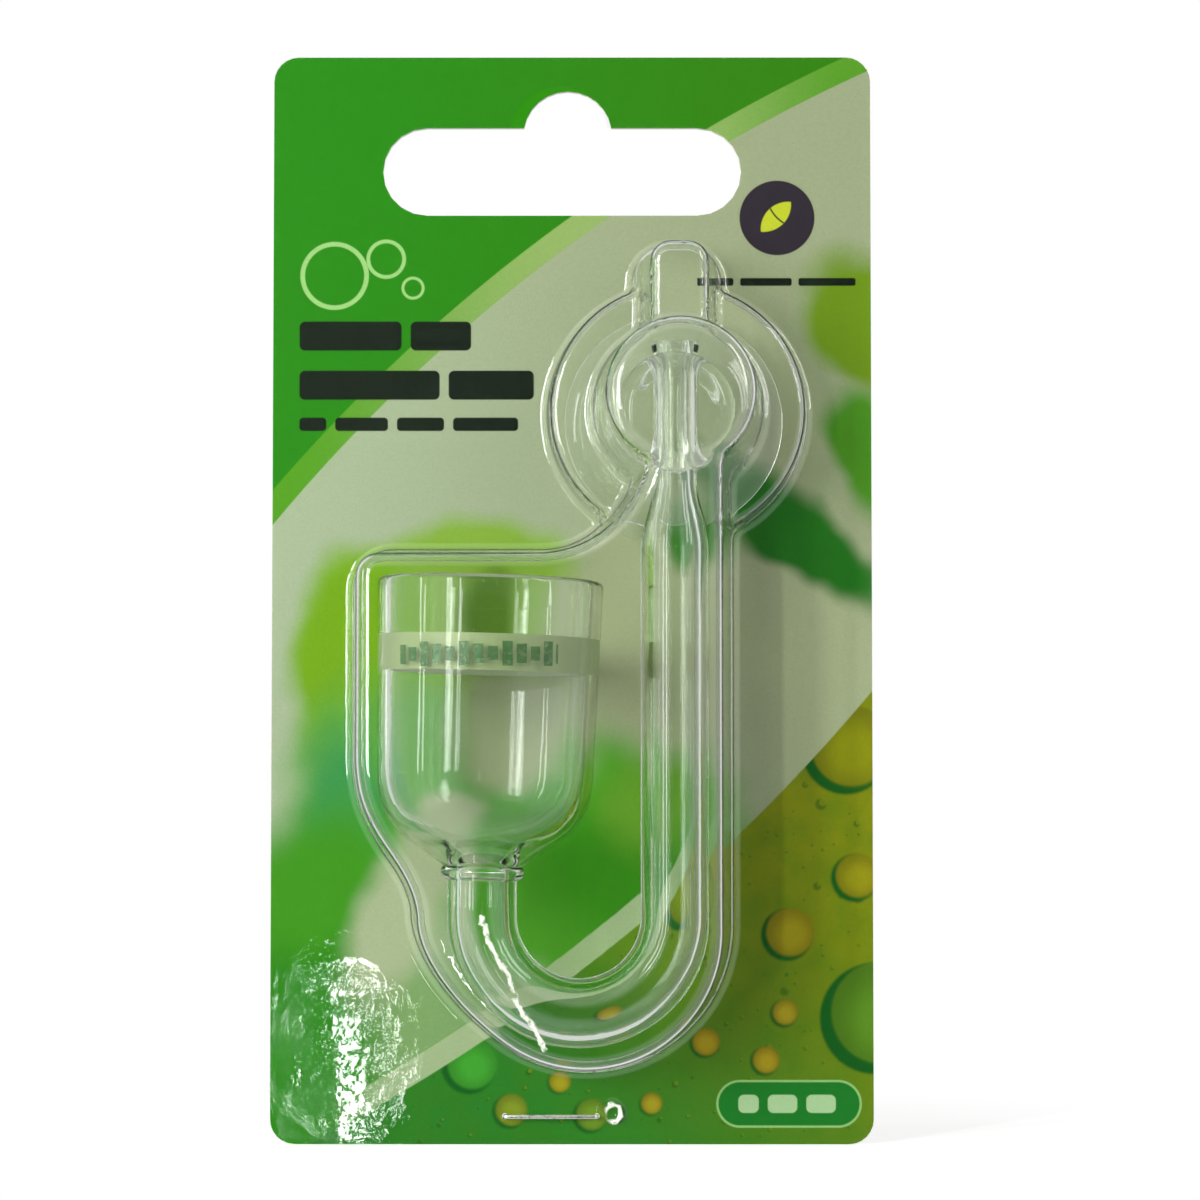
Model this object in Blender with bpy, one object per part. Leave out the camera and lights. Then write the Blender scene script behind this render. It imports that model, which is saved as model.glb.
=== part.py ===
"""A glass carbon dioxide diffuser for a small aquarium, in the clear blister and printed card it is sold in.

The frame: the origin is the centre of the card's back face, +X is to the right, +Z is up, the front is -Y.
The card is the fixed piece. The blister lifts straight off it towards -Y and takes the staple with it. The
glass diffuser lifts out behind the blister. The suction cup turns about the long leg of the glass tube.
"""

import math

import bmesh
import bpy
from mathutils import Matrix, Vector

MM = 0.001

# The card, a flat board with a hang slot
CARD_WIDTH = 53.3 * MM
CARD_HEIGHT = 96.7 * MM
CARD_THICKNESS = 0.6 * MM
CARD_CORNER = 2.2 * MM

# The hang slot: a standard 32 mm slot with round ends and a round hook notch above its middle
SLOT_X = -0.9 * MM
SLOT_BOTTOM = 34.1 * MM
SLOT_HEIGHT = 7.9 * MM
SLOT_WIDTH = 32.0 * MM
NOTCH_X = -0.4 * MM
NOTCH_RADIUS = 3.95 * MM
NOTCH_TOP = 45.3 * MM

# The blister, a thin sheet formed over the diffuser
SHEET = 0.3 * MM
FLANGE_GAP = 0.1 * MM
FLANGE_INSET = 0.3 * MM
FILM_SLOT_MARGIN = 0.5 * MM
POCKET_DEPTH = 21.6 * MM
POCKET_DRAFT = 1.7 * MM
POCKET_EDGE = 1.4 * MM
POCKET_LEFT = -19.5 * MM
POCKET_RIGHT = 14.4 * MM
POCKET_TOP = 4.25 * MM
POCKET_CORNER = 3.6 * MM
BEND_POCKET_RADIUS = 13.05 * MM
BEND_POCKET_Z = -29.0 * MM
WAIST_X = -14.3 * MM
WAIST_Z = -28.3 * MM
STRIP_LEFT = 5.4 * MM
STEP_X = 9.3 * MM
STEP_Z = 16.1 * MM
STEP_RADIUS = 11.6 * MM
STEP_DEPTH = 5.6 * MM
STEP_DRAFT = 0.4 * MM
STEP_EDGE = 0.8 * MM
DOME_RADIUS = 8.1 * MM
DOME_DEPTH = 22.6 * MM
DOME_DRAFT = 1.9 * MM
DOME_EDGE = 1.4 * MM
NUB_HALF_WIDTH = 4.1 * MM
NUB_TOP = 31.3 * MM
NUB_CORNER = 3.4 * MM
NUB_DEPTH = 15.6 * MM
NUB_DRAFT = 1.7 * MM
NUB_EDGE = 0.9 * MM

# The glass: a bell fused to a bent tube, and the bell leans a little towards the long leg
AXIS_DEPTH = 10.6 * MM
BELL_X = -7.6 * MM
TUBE_X = 9.0 * MM
BELL_LEAN = math.radians(1.6)
BELL_RADIUS = 9.7 * MM
BELL_TAPER = 0.4 * MM
BELL_WALL = 1.0 * MM
BELL_RIM = 0.95 * MM
BELL_SHOULDER = -15.0 * MM
NECK_TOP = -23.7 * MM
NECK_END = -24.9 * MM
NECK_RADIUS = 3.4 * MM
COLLAR_RADIUS = 3.7 * MM
TUBE_RADIUS = 3.0 * MM
TUBE_BORE = 2.0 * MM
BEND_Z = -27.95 * MM
TAPER_START = 3.5 * MM
TAPER_END = 9.5 * MM
NIPPLE_RADIUS = 1.85 * MM
NIPPLE_BORE = 1.1 * MM
LIP_RADIUS = 2.05 * MM
LIP_EDGE = 0.15 * MM
MOUTH_Z = 21.5 * MM
GLASS_GAP = 0.2 * MM

# The ceramic disc and the silicone bead that holds it
DISC_TOP = -4.0 * MM
DISC_THICKNESS = 3.1 * MM
BEAD_GAP = 0.1 * MM
BEAD_WIDTH = 0.5 * MM
BEAD_LIP = 0.8 * MM
BEAD_LIP_HEIGHT = 0.5 * MM

# The suction cup
CUP_RADIUS = 9.6 * MM
CUP_Z = 15.3 * MM
CUP_TO_CARD = 2.3 * MM
CUP_RIM_WIDTH = 1.4 * MM
KNOB_RADIUS = 5.1 * MM
KNOB_HALF_LENGTH = 4.5 * MM
CUP_NECK_RADIUS = 3.2 * MM
CUP_BORE = 2.15 * MM
TAB_ANGLE = math.radians(249)
TAB_REACH = 11.0 * MM
TAB_HALF_WIDTH = 1.4 * MM

# The staple
WIRE_RADIUS = 0.2 * MM
STAPLE_X = -1.85 * MM
STAPLE_Z = -45.9 * MM
STAPLE_WIDTH = 8.5 * MM
STAPLE_LEG_TIP = 0.7 * MM
STAPLE_GAP = 0.04 * MM

# Places that follow from the sizes above
CARD_FRONT_Y = -CARD_THICKNESS
FLANGE_BACK_Y = CARD_FRONT_Y - FLANGE_GAP
FLANGE_FRONT_Y = FLANGE_BACK_Y - SHEET
AXIS_Y = CARD_FRONT_Y - AXIS_DEPTH
CUP_FACE_Y = CARD_FRONT_Y - CUP_TO_CARD
BEND_RADIUS = (TUBE_X - BELL_X) / 2
BEAD_BOTTOM = DISC_TOP - DISC_THICKNESS - BEAD_GAP - BEAD_LIP_HEIGHT
TAPER_AT_BEAD = BELL_TAPER * (BELL_RIM - BEAD_BOTTOM) / (BELL_RIM - BELL_SHOULDER)
BEAD_RADIUS = BELL_RADIUS - BELL_WALL - TAPER_AT_BEAD - BEAD_GAP
DISC_RADIUS = BEAD_RADIUS - BEAD_WIDTH - BEAD_GAP

ROUND_STEPS = 40
TUBE_STEPS = 24
SMALL_STEPS = 12
PAST = 1.0 * MM


# ---------------------------------------------------------------- tools


def clear_scene():
    for thing in list(bpy.data.objects):
        bpy.data.objects.remove(thing)


def make_material(name, colour, roughness, metallic=0.0, transmission=0.0):
    material = bpy.data.materials.new(name)
    material.use_nodes = True
    shader = material.node_tree.nodes["Principled BSDF"]
    shader.inputs["Base Color"].default_value = (*colour, 1.0)
    shader.inputs["Roughness"].default_value = roughness
    shader.inputs["Metallic"].default_value = metallic
    shader.inputs["Transmission Weight"].default_value = transmission
    return material


def add_object(name, mesh_maker, material=None, location=(0, 0, 0), parent=None):
    """Turns the bmesh into a named object with outward faces and smooth round sides."""
    bmesh.ops.recalc_face_normals(mesh_maker, faces=mesh_maker.faces)
    mesh = bpy.data.meshes.new(name)
    mesh_maker.to_mesh(mesh)
    mesh_maker.free()
    mesh.shade_smooth()
    mesh.set_sharp_from_angle(angle=math.radians(35))
    thing = bpy.data.objects.new(name, mesh)
    bpy.context.scene.collection.objects.link(thing)
    if material:
        mesh.materials.append(material)
    thing.parent = parent
    thing.location = location
    return thing


def add_cutter(name, mesh_maker, location=(0, 0, 0), parent=None):
    """A guide solid for a Boolean: it is not a piece of the object."""
    cutter = add_object(name, mesh_maker, None, location, parent)
    cutter.hide_render = True
    cutter.display_type = "WIRE"
    return cutter


def combine(thing, other, operation):
    modifier = thing.modifiers.new(other.name, "BOOLEAN")
    modifier.operation = operation
    modifier.object = other
    modifier.solver = "EXACT"


def add_empty(name, location=(0, 0, 0), parent=None):
    empty = bpy.data.objects.new(name, None)
    bpy.context.scene.collection.objects.link(empty)
    empty.parent = parent
    empty.location = location
    return empty


def loft(rings, closed=False):
    """Skins rings of equal length. An open loft is capped; a closed one joins its last ring to its first."""
    maker = bmesh.new()
    rows = [[maker.verts.new(point) for point in ring] for ring in rings]
    pairs = list(zip(rows, rows[1:]))
    if closed:
        pairs.append((rows[-1], rows[0]))
    for first, second in pairs:
        for i in range(len(first)):
            j = (i + 1) % len(first)
            maker.faces.new((first[i], first[j], second[j], second[i]))
    if not closed:
        maker.faces.new(rows[0])
        maker.faces.new(rows[-1])
    return maker


def arc(centre_x, centre_z, radius, start, end, steps):
    """Points along an arc, angles in degrees from +X towards +Z."""
    points = []
    for i in range(steps + 1):
        angle = math.radians(start + (end - start) * i / steps)
        points.append((centre_x + radius * math.cos(angle), centre_z + radius * math.sin(angle)))
    return points


def curve_through(start, start_pull, end_pull, end, steps):
    """Points of a cubic Bezier curve, without its first point."""
    points = []
    for i in range(1, steps + 1):
        t = i / steps
        weights = ((1 - t) ** 3, 3 * t * (1 - t) ** 2, 3 * t * t * (1 - t), t**3)
        controls = (start, start_pull, end_pull, end)
        points.append(tuple(sum(w * c[k] for w, c in zip(weights, controls)) for k in (0, 1)))
    return points


def circle_outline(centre_x, centre_z, radius, steps):
    return arc(centre_x, centre_z, radius, 0, 360 - 360 / steps, steps - 1)


def rounded_rectangle(left, right, bottom, top, radius, steps=6):
    outline = arc(right - radius, top - radius, radius, 0, 90, steps)
    outline += arc(left + radius, top - radius, radius, 90, 180, steps)
    outline += arc(left + radius, bottom + radius, radius, 180, 270, steps)
    outline += arc(right - radius, bottom + radius, radius, 270, 360, steps)
    return outline


def inset(outline, distance):
    """Moves each point of a counter-clockwise outline inwards, square to its neighbours."""
    moved = []
    for i, (x, z) in enumerate(outline):
        before = Vector(outline[i - 1])
        after = Vector(outline[(i + 1) % len(outline)])
        along = (after - before).normalized()
        moved.append((x - along.y * distance, z + along.x * distance))
    return moved


def prism(outline, back, front):
    """A flat outline in the XZ plane, given depth along Y."""
    return loft([[(x, y, z) for x, z in outline] for y in (back, front)])


def turned(profile, steps, closed=False):
    """Turns (radius, height) points about local Z. An open profile starts and ends at a small flat cap."""
    rings = []
    for radius, height in profile:
        ring = [(x, z, height) for x, z in circle_outline(0, 0, radius, steps)]
        rings.append(ring)
    return loft(rings, closed)


def swept(stations, square_to_path, steps, closed=False):
    """Sweeps a circle along a flat path. A station is (place, direction across the path, radius)."""
    rings = []
    for place, across, radius in stations:
        ring = []
        for i in range(steps):
            turn = 2 * math.pi * i / steps
            ring.append(place + radius * (math.cos(turn) * across + math.sin(turn) * square_to_path))
        rings.append(ring)
    return loft(rings, closed)


# ---------------------------------------------------------------- the card


def slot_outline(margin):
    """The hang slot with its hook notch, counter-clockwise, grown by the margin all round."""
    end_radius = SLOT_HEIGHT / 2 + margin
    middle = SLOT_BOTTOM + SLOT_HEIGHT / 2
    right = SLOT_X + SLOT_WIDTH / 2 - SLOT_HEIGHT / 2
    left = SLOT_X - SLOT_WIDTH / 2 + SLOT_HEIGHT / 2
    notch_radius = NOTCH_RADIUS + margin
    notch_z = NOTCH_TOP - NOTCH_RADIUS
    start = math.degrees(math.asin((middle + end_radius - notch_z) / notch_radius))
    outline = arc(right, middle, end_radius, -90, 90, 10)
    outline += arc(NOTCH_X, notch_z, notch_radius, start, 180 - start, 12)
    outline += arc(left, middle, end_radius, 90, 270, 10)
    return outline


def staple_hole_centres():
    half = STAPLE_WIDTH / 2 - WIRE_RADIUS
    return (STAPLE_X - half, STAPLE_X + half)


def cut_staple_holes(thing, front):
    for side, x in zip(("left", "right"), staple_hole_centres()):
        outline = circle_outline(x, STAPLE_Z, WIRE_RADIUS + 2 * STAPLE_GAP, SMALL_STEPS)
        hole = prism(outline, PAST, front - PAST)
        name = f"{thing.name}_{side}_pierce"
        combine(thing, add_cutter(name, hole, parent=thing.parent), "DIFFERENCE")


def build_card(parent):
    board = make_material("printed_card", (0.09, 0.30, 0.04), 0.45)
    half_width = CARD_WIDTH / 2
    half_height = CARD_HEIGHT / 2
    outline = rounded_rectangle(-half_width, half_width, -half_height, half_height, CARD_CORNER)
    card = add_object("backing_card", prism(outline, 0, CARD_FRONT_Y), board, parent=parent)
    slot = add_cutter("card_slot", prism(slot_outline(0), PAST, CARD_FRONT_Y - PAST), parent=parent)
    combine(card, slot, "DIFFERENCE")
    cut_staple_holes(card, CARD_FRONT_Y)
    cut_leg_dents(card)
    return card


def cut_leg_dents(card):
    """The two dents in the card's back that the staple's bent legs are pressed into."""
    half_height = WIRE_RADIUS + 2 * STAPLE_GAP
    bottom = STAPLE_Z - half_height
    top = STAPLE_Z + half_height
    depth = 2 * WIRE_RADIUS + 2 * STAPLE_GAP
    tip_from_middle = STAPLE_LEG_TIP - 2 * STAPLE_GAP
    left_hole, right_hole = staple_hole_centres()
    spans = (
        ("left_leg_dent", left_hole, STAPLE_X - tip_from_middle),
        ("right_leg_dent", STAPLE_X + tip_from_middle, right_hole),
    )
    for name, left, right in spans:
        dent = prism(rounded_rectangle(left, right, bottom, top, STAPLE_GAP, 1), PAST, -depth)
        combine(card, add_cutter(name, dent, parent=card.parent), "DIFFERENCE")


# ---------------------------------------------------------------- the blister


def pocket_outline():
    """The foot of the main pocket, counter-clockwise: it follows the bell, the bend and the long leg."""
    bend_x = POCKET_RIGHT - BEND_POCKET_RADIUS
    bend_end = -125
    leaves = math.radians(bend_end)
    leaving = (
        bend_x + BEND_POCKET_RADIUS * math.cos(leaves),
        BEND_POCKET_Z + BEND_POCKET_RADIUS * math.sin(leaves),
    )
    pull = 4.5 * MM
    leaving_pull = (leaving[0] + pull * math.sin(leaves), leaving[1] - pull * math.cos(leaves))
    waist = (WAIST_X, WAIST_Z)
    cheek = (POCKET_LEFT + 1.9 * MM, WAIST_Z + 6.9 * MM)
    wall_foot = (POCKET_LEFT, BELL_SHOULDER + 1.0 * MM)
    shelf_end = (-2.8 * MM, POCKET_TOP)
    strip_foot = (STRIP_LEFT, 12.5 * MM)
    strip_radius = (POCKET_RIGHT - STRIP_LEFT) / 2

    outline = arc(bend_x, BEND_POCKET_Z, BEND_POCKET_RADIUS, 0, bend_end, 14)
    outline += curve_through(leaving, leaving_pull, (WAIST_X + 0.3 * MM, WAIST_Z - 4.2 * MM), waist, 5)
    outline += curve_through(
        waist,
        (WAIST_X, WAIST_Z + 2.7 * MM),
        (cheek[0] + 1.4 * MM, cheek[1] - 2.4 * MM),
        cheek,
        4,
    )
    outline += curve_through(
        cheek,
        (cheek[0] - 1.2 * MM, cheek[1] + 2.1 * MM),
        (POCKET_LEFT, wall_foot[1] - 3.4 * MM),
        wall_foot,
        4,
    )
    outline += arc(POCKET_LEFT + POCKET_CORNER, POCKET_TOP - POCKET_CORNER, POCKET_CORNER, 180, 90, 5)
    outline.append(shelf_end)
    outline += curve_through(shelf_end, (1.5 * MM, POCKET_TOP), (4.6 * MM, 7.5 * MM), strip_foot, 7)
    outline += arc(STRIP_LEFT + strip_radius, STEP_Z, strip_radius, 180, 0, 8)
    outline.reverse()
    return outline


def nub_outline():
    left = STEP_X - NUB_HALF_WIDTH
    right = STEP_X + NUB_HALF_WIDTH
    return rounded_rectangle(left, right, STEP_Z - NUB_HALF_WIDTH, NUB_TOP, NUB_CORNER, 5)


def formed_solid(outline, depth, draft, edge, foot_y):
    """A solid that leans inwards by the draft as it rises, with a round upper edge."""
    straight = depth - edge
    rings = [(0, foot_y), (draft * straight / depth, FLANGE_BACK_Y - straight)]
    for i in range(1, 4):
        angle = math.pi / 2 * i / 3
        lean = draft * straight / depth + edge * (1 - math.cos(angle))
        rings.append((lean, FLANGE_BACK_Y - straight - edge * math.sin(angle)))
    return loft([[(x, y, z) for x, z in inset(outline, lean)] for lean, y in rings])


def build_blister(parent):
    film = make_material("clear_film", (0.85, 0.90, 0.85), 0.06, transmission=1.0)
    half_width = CARD_WIDTH / 2 - FLANGE_INSET
    half_height = CARD_HEIGHT / 2 - FLANGE_INSET
    outline = rounded_rectangle(-half_width, half_width, -half_height, half_height, CARD_CORNER)
    flange = prism(outline, FLANGE_BACK_Y, FLANGE_FRONT_Y)
    blister = add_object("blister_shell", flange, film, parent=parent)
    step_foot = circle_outline(STEP_X, STEP_Z, STEP_RADIUS, ROUND_STEPS)
    dome_foot = circle_outline(STEP_X, STEP_Z, DOME_RADIUS, ROUND_STEPS)
    forms = (
        ("pocket", pocket_outline(), POCKET_DEPTH, POCKET_DRAFT, POCKET_EDGE),
        ("step", step_foot, STEP_DEPTH, STEP_DRAFT, STEP_EDGE),
        ("dome", dome_foot, DOME_DEPTH, DOME_DRAFT, DOME_EDGE),
        ("nub", nub_outline(), NUB_DEPTH, NUB_DRAFT, NUB_EDGE),
    )
    middle_of_sheet = FLANGE_BACK_Y - SHEET / 2
    for name, foot, depth, draft, edge in forms:
        outside = formed_solid(foot, depth, draft, edge, middle_of_sheet)
        combine(blister, add_cutter(f"{name}_outside", outside, parent=parent), "UNION")
    for order, (name, foot, depth, draft, edge) in enumerate(forms):
        inner_foot = inset(foot, SHEET)
        start_y = PAST * (1 + 0.3 * order)
        inside = formed_solid(inner_foot, depth - SHEET, draft, edge, start_y)
        combine(blister, add_cutter(f"{name}_inside", inside, parent=parent), "DIFFERENCE")
    slot = prism(slot_outline(FILM_SLOT_MARGIN), PAST, FLANGE_FRONT_Y - PAST)
    combine(blister, add_cutter("film_slot", slot, parent=parent), "DIFFERENCE")
    cut_staple_holes(blister, FLANGE_FRONT_Y)
    return blister


# ---------------------------------------------------------------- the staple


def build_staple(parent):
    """One wire: a crown in front of the film, two legs through it, and both legs bent in behind the card."""
    steel = make_material("staple_steel", (0.62, 0.62, 0.60), 0.3, metallic=1.0)
    crown_y = FLANGE_FRONT_Y - STAPLE_GAP - WIRE_RADIUS
    clinch_y = -WIRE_RADIUS - STAPLE_GAP
    corner = 0.25 * MM
    left, right = staple_hole_centres()
    path = [(STAPLE_X - STAPLE_LEG_TIP, clinch_y, 90)]
    path += wire_corner(left + corner, clinch_y - corner, corner, 90, 180)
    path += wire_corner(left + corner, crown_y + corner, corner, 180, 270)
    path += wire_corner(right - corner, crown_y + corner, corner, 270, 360)
    path += wire_corner(right - corner, clinch_y - corner, corner, 360, 450)
    path.append((STAPLE_X + STAPLE_LEG_TIP, clinch_y, 450))
    stations = []
    for x, y, degrees in path:
        across = Vector((math.cos(math.radians(degrees)), math.sin(math.radians(degrees)), 0))
        stations.append((Vector((x, y, STAPLE_Z)), across, WIRE_RADIUS))
    wire = swept(stations, Vector((0, 0, 1)), SMALL_STEPS)
    return add_object("staple", wire, steel, parent=parent)


def wire_corner(centre_x, centre_y, radius, start, end):
    """(x, y, angle from the bend's centre in degrees) round one bend of the wire."""
    steps = 3
    path = []
    for i in range(steps + 1):
        degrees = start + (end - start) * i / steps
        angle = math.radians(degrees)
        path.append((centre_x + radius * math.cos(angle), centre_y + radius * math.sin(angle), degrees))
    return path


# ---------------------------------------------------------------- the glass


def bell_profile():
    """The bell's wall: down the outside from the rim, round the shoulder and collar, and up the inside."""
    lip = 0.5 * BELL_WALL
    low_radius = BELL_RADIUS - BELL_TAPER
    collar_middle = (NECK_TOP + NECK_END) / 2
    collar_half = (NECK_TOP - NECK_END) / 4
    outer = [(BELL_RADIUS - lip, BELL_RIM), (BELL_RADIUS, BELL_RIM - lip)]
    outer += shoulder(low_radius, NECK_RADIUS, BELL_SHOULDER, NECK_TOP)
    outer += [(COLLAR_RADIUS, collar_middle + collar_half), (COLLAR_RADIUS, collar_middle - collar_half)]
    outer += [(TUBE_RADIUS, NECK_END), (TUBE_BORE, NECK_END)]
    inner = shoulder(low_radius - BELL_WALL, TUBE_BORE, BELL_SHOULDER, NECK_TOP + 0.9 * BELL_WALL)
    inner.reverse()
    return outer + inner + [(BELL_RADIUS - BELL_WALL, BELL_RIM - lip)]


def shoulder(start_radius, end_radius, start_z, end_z):
    """The round bottom of the bell: it drops from the straight wall and flows into the neck."""
    run = start_radius - end_radius
    drop = start_z - end_z

    def at(share_of_run, share_of_drop):
        return (start_radius - share_of_run * run, start_z - share_of_drop * drop)

    points = [at(0, 0)]
    turn = at(0.53, 0.78)
    points += curve_through(at(0, 0), at(0, 0.44), at(0.17, 0.62), turn, 6)
    points += curve_through(turn, at(0.73, 0.87), at(0.97, 0.91), at(1, 1), 4)
    return points


def build_bell(parent, glass):
    maker = turned(bell_profile(), ROUND_STEPS, closed=True)
    return add_object("glass_bell", maker, glass, (0, 0, -NECK_END), parent)


def tube_stations(radius, nipple_radius, mouth):
    """One wall of the tube, from the neck round the bend and up to the mouth, about the bell's axis."""
    left = Vector((-1, 0, 0))
    right = Vector((1, 0, 0))
    leg_x = TUBE_X - BELL_X
    stations = [(Vector((0, 0, NECK_END - GLASS_GAP)), left, radius)]
    bend_steps = 14
    for i in range(bend_steps + 1):
        turn = math.pi + math.pi * i / bend_steps
        across = Vector((math.cos(turn), 0, math.sin(turn)))
        centre = Vector((BEND_RADIUS, 0, BEND_Z))
        stations.append((centre + BEND_RADIUS * across, across, radius))
    taper_steps = 5
    for i in range(taper_steps + 1):
        t = i / taper_steps
        ease = t * t * (3 - 2 * t)
        z = TAPER_START + t * (TAPER_END - TAPER_START)
        stations.append((Vector((leg_x, 0, z)), right, radius + (nipple_radius - radius) * ease))
    stations += [(Vector((leg_x, 0, z)), right, mouth_radius) for z, mouth_radius in mouth]
    return stations


def build_tube(parent, glass):
    outer_mouth = (
        (MOUTH_Z - 1.2 * MM, NIPPLE_RADIUS),
        (MOUTH_Z - 0.5 * MM, LIP_RADIUS),
        (MOUTH_Z - LIP_EDGE, LIP_RADIUS),
        (MOUTH_Z, LIP_RADIUS - LIP_EDGE),
    )
    outer = tube_stations(TUBE_RADIUS, NIPPLE_RADIUS, outer_mouth)
    inner = tube_stations(TUBE_BORE, NIPPLE_BORE, ((MOUTH_Z, NIPPLE_BORE),))
    inner.reverse()
    maker = swept(outer + inner, Vector((0, 1, 0)), TUBE_STEPS, closed=True)
    return add_object("glass_tube", maker, glass, (BELL_X, AXIS_Y, 0), parent)


# ---------------------------------------------------------------- the disc and its bead


def build_disc(parent):
    ceramic = make_material("porous_ceramic", (0.78, 0.80, 0.70), 0.9)
    bottom = DISC_TOP - DISC_THICKNESS
    edge = 0.2 * MM
    profile = (
        (DISC_RADIUS - edge, DISC_TOP),
        (DISC_RADIUS, DISC_TOP - edge),
        (DISC_RADIUS, bottom + edge),
        (DISC_RADIUS - edge, bottom),
    )
    return add_object("ceramic_disc", turned(profile, ROUND_STEPS), ceramic, (0, 0, -NECK_END), parent)


def build_bead(parent):
    """The bead fills the gap between the disc and the bell, and turns in under the disc's edge."""
    silicone = make_material("clear_silicone", (0.80, 0.84, 0.76), 0.35, transmission=0.6)
    inner = BEAD_RADIUS - BEAD_WIDTH
    top = DISC_TOP - BEAD_LIP_HEIGHT
    lip_top = BEAD_BOTTOM + BEAD_LIP_HEIGHT
    profile = (
        (inner, top),
        (BEAD_RADIUS, top),
        (BEAD_RADIUS, BEAD_BOTTOM),
        (inner - BEAD_LIP, BEAD_BOTTOM),
        (inner - BEAD_LIP, lip_top),
        (inner, lip_top),
    )
    maker = turned(profile, ROUND_STEPS, closed=True)
    return add_object("disc_bead", maker, silicone, (0, 0, -NECK_END), parent)


# ---------------------------------------------------------------- the suction cup


def cup_profile():
    """(radius, distance in front of the rim), from the middle of the hollow round to the knob's front."""
    knob_middle = AXIS_DEPTH - CUP_TO_CARD
    knob_back = knob_middle - KNOB_HALF_LENGTH
    knob_front = knob_middle + KNOB_HALF_LENGTH
    rim_inner = CUP_RADIUS - CUP_RIM_WIDTH
    return (
        (0.4 * MM, 1.9 * MM),
        (0.45 * rim_inner, 1.7 * MM),
        (0.82 * rim_inner, 1.0 * MM),
        (rim_inner, 0),
        (CUP_RADIUS, 0),
        (CUP_RADIUS, 0.5 * MM),
        (CUP_RADIUS - 0.9 * MM, 1.1 * MM),
        (0.82 * rim_inner, 2.2 * MM),
        (0.54 * rim_inner, 2.9 * MM),
        (CUP_NECK_RADIUS, 3.3 * MM),
        (CUP_NECK_RADIUS, knob_back),
        (KNOB_RADIUS - 0.9 * MM, knob_back + 0.3 * MM),
        (KNOB_RADIUS, knob_back + 1.4 * MM),
        (KNOB_RADIUS, knob_front - 1.6 * MM),
        (KNOB_RADIUS - 0.5 * MM, knob_front - 0.5 * MM),
        (KNOB_RADIUS - 1.6 * MM, knob_front),
        (0.4 * MM, knob_front),
    )


def tab_outline():
    """The pull tab at the rim, counter-clockwise, about the cup's own middle."""
    root = CUP_RADIUS - 0.6 * CUP_RIM_WIDTH
    end = TAB_REACH - TAB_HALF_WIDTH
    points = [(root, -TAB_HALF_WIDTH)]
    points += arc(end, 0, TAB_HALF_WIDTH, -90, 90, 6)[1:-1]
    points.append((root, TAB_HALF_WIDTH))
    turn = Matrix.Rotation(TAB_ANGLE, 2)
    return [tuple(turn @ Vector(point)) for point in points]


def build_suction_cup(parent):
    """The cup's origin is on the tube's long leg, which is the axis that it turns about."""
    vinyl = make_material("clear_vinyl", (0.82, 0.86, 0.80), 0.18, transmission=0.9)
    face_y = CUP_FACE_Y - AXIS_Y
    body = turned(cup_profile(), ROUND_STEPS)
    bmesh.ops.rotate(body, verts=body.verts, matrix=Matrix.Rotation(math.radians(90), 3, "X"))
    bmesh.ops.translate(body, verts=body.verts, vec=(0, face_y, 0))
    place = (0, 0, CUP_Z)
    cup = add_object("suction_cup", body, vinyl, place, parent)
    tab = prism(tab_outline(), face_y - 0.25 * MM, face_y - 1.05 * MM)
    combine(cup, add_cutter("pull_tab", tab, place, parent), "UNION")
    half_length = KNOB_RADIUS + PAST
    bore = turned(((CUP_BORE, -half_length), (CUP_BORE, half_length)), TUBE_STEPS)
    combine(cup, add_cutter("cup_bore", bore, place, parent), "DIFFERENCE")
    return cup


# ---------------------------------------------------------------- the whole


def build():
    clear_scene()
    glass = make_material("clear_glass", (0.90, 0.95, 0.90), 0.02, transmission=1.0)
    pack = add_empty("pack")
    blister_slide = add_empty("blister_slide", parent=pack)
    diffuser_slide = add_empty("diffuser_slide", parent=pack)
    bell_axis = add_empty("bell_axis", (BELL_X, AXIS_Y, NECK_END), diffuser_slide)
    bell_axis.rotation_euler = (0, BELL_LEAN, 0)
    cup_swivel = add_empty("cup_swivel", (TUBE_X, AXIS_Y, 0), diffuser_slide)
    build_card(pack)
    build_blister(blister_slide)
    build_staple(blister_slide)
    build_bell(bell_axis, glass)
    build_disc(bell_axis)
    build_bead(bell_axis)
    build_tube(diffuser_slide, glass)
    build_suction_cup(cup_swivel)


build()
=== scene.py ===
"""The looks of a glass carbon dioxide diffuser in its clear blister on a printed hang card.

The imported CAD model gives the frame. The card stays as it is and gets its print. The blister, the glass, the
ceramic disc with its bead, the suction cup and the staple are replaced by finer meshes of the same size,
which ride on the same bodies. Outlines lie in the XZ plane, the front is -Y.
"""

import math

import bmesh
import bpy
import numpy as np
from mathutils import Matrix, Vector
from mathutils.geometry import delaunay_2d_cdt


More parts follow.
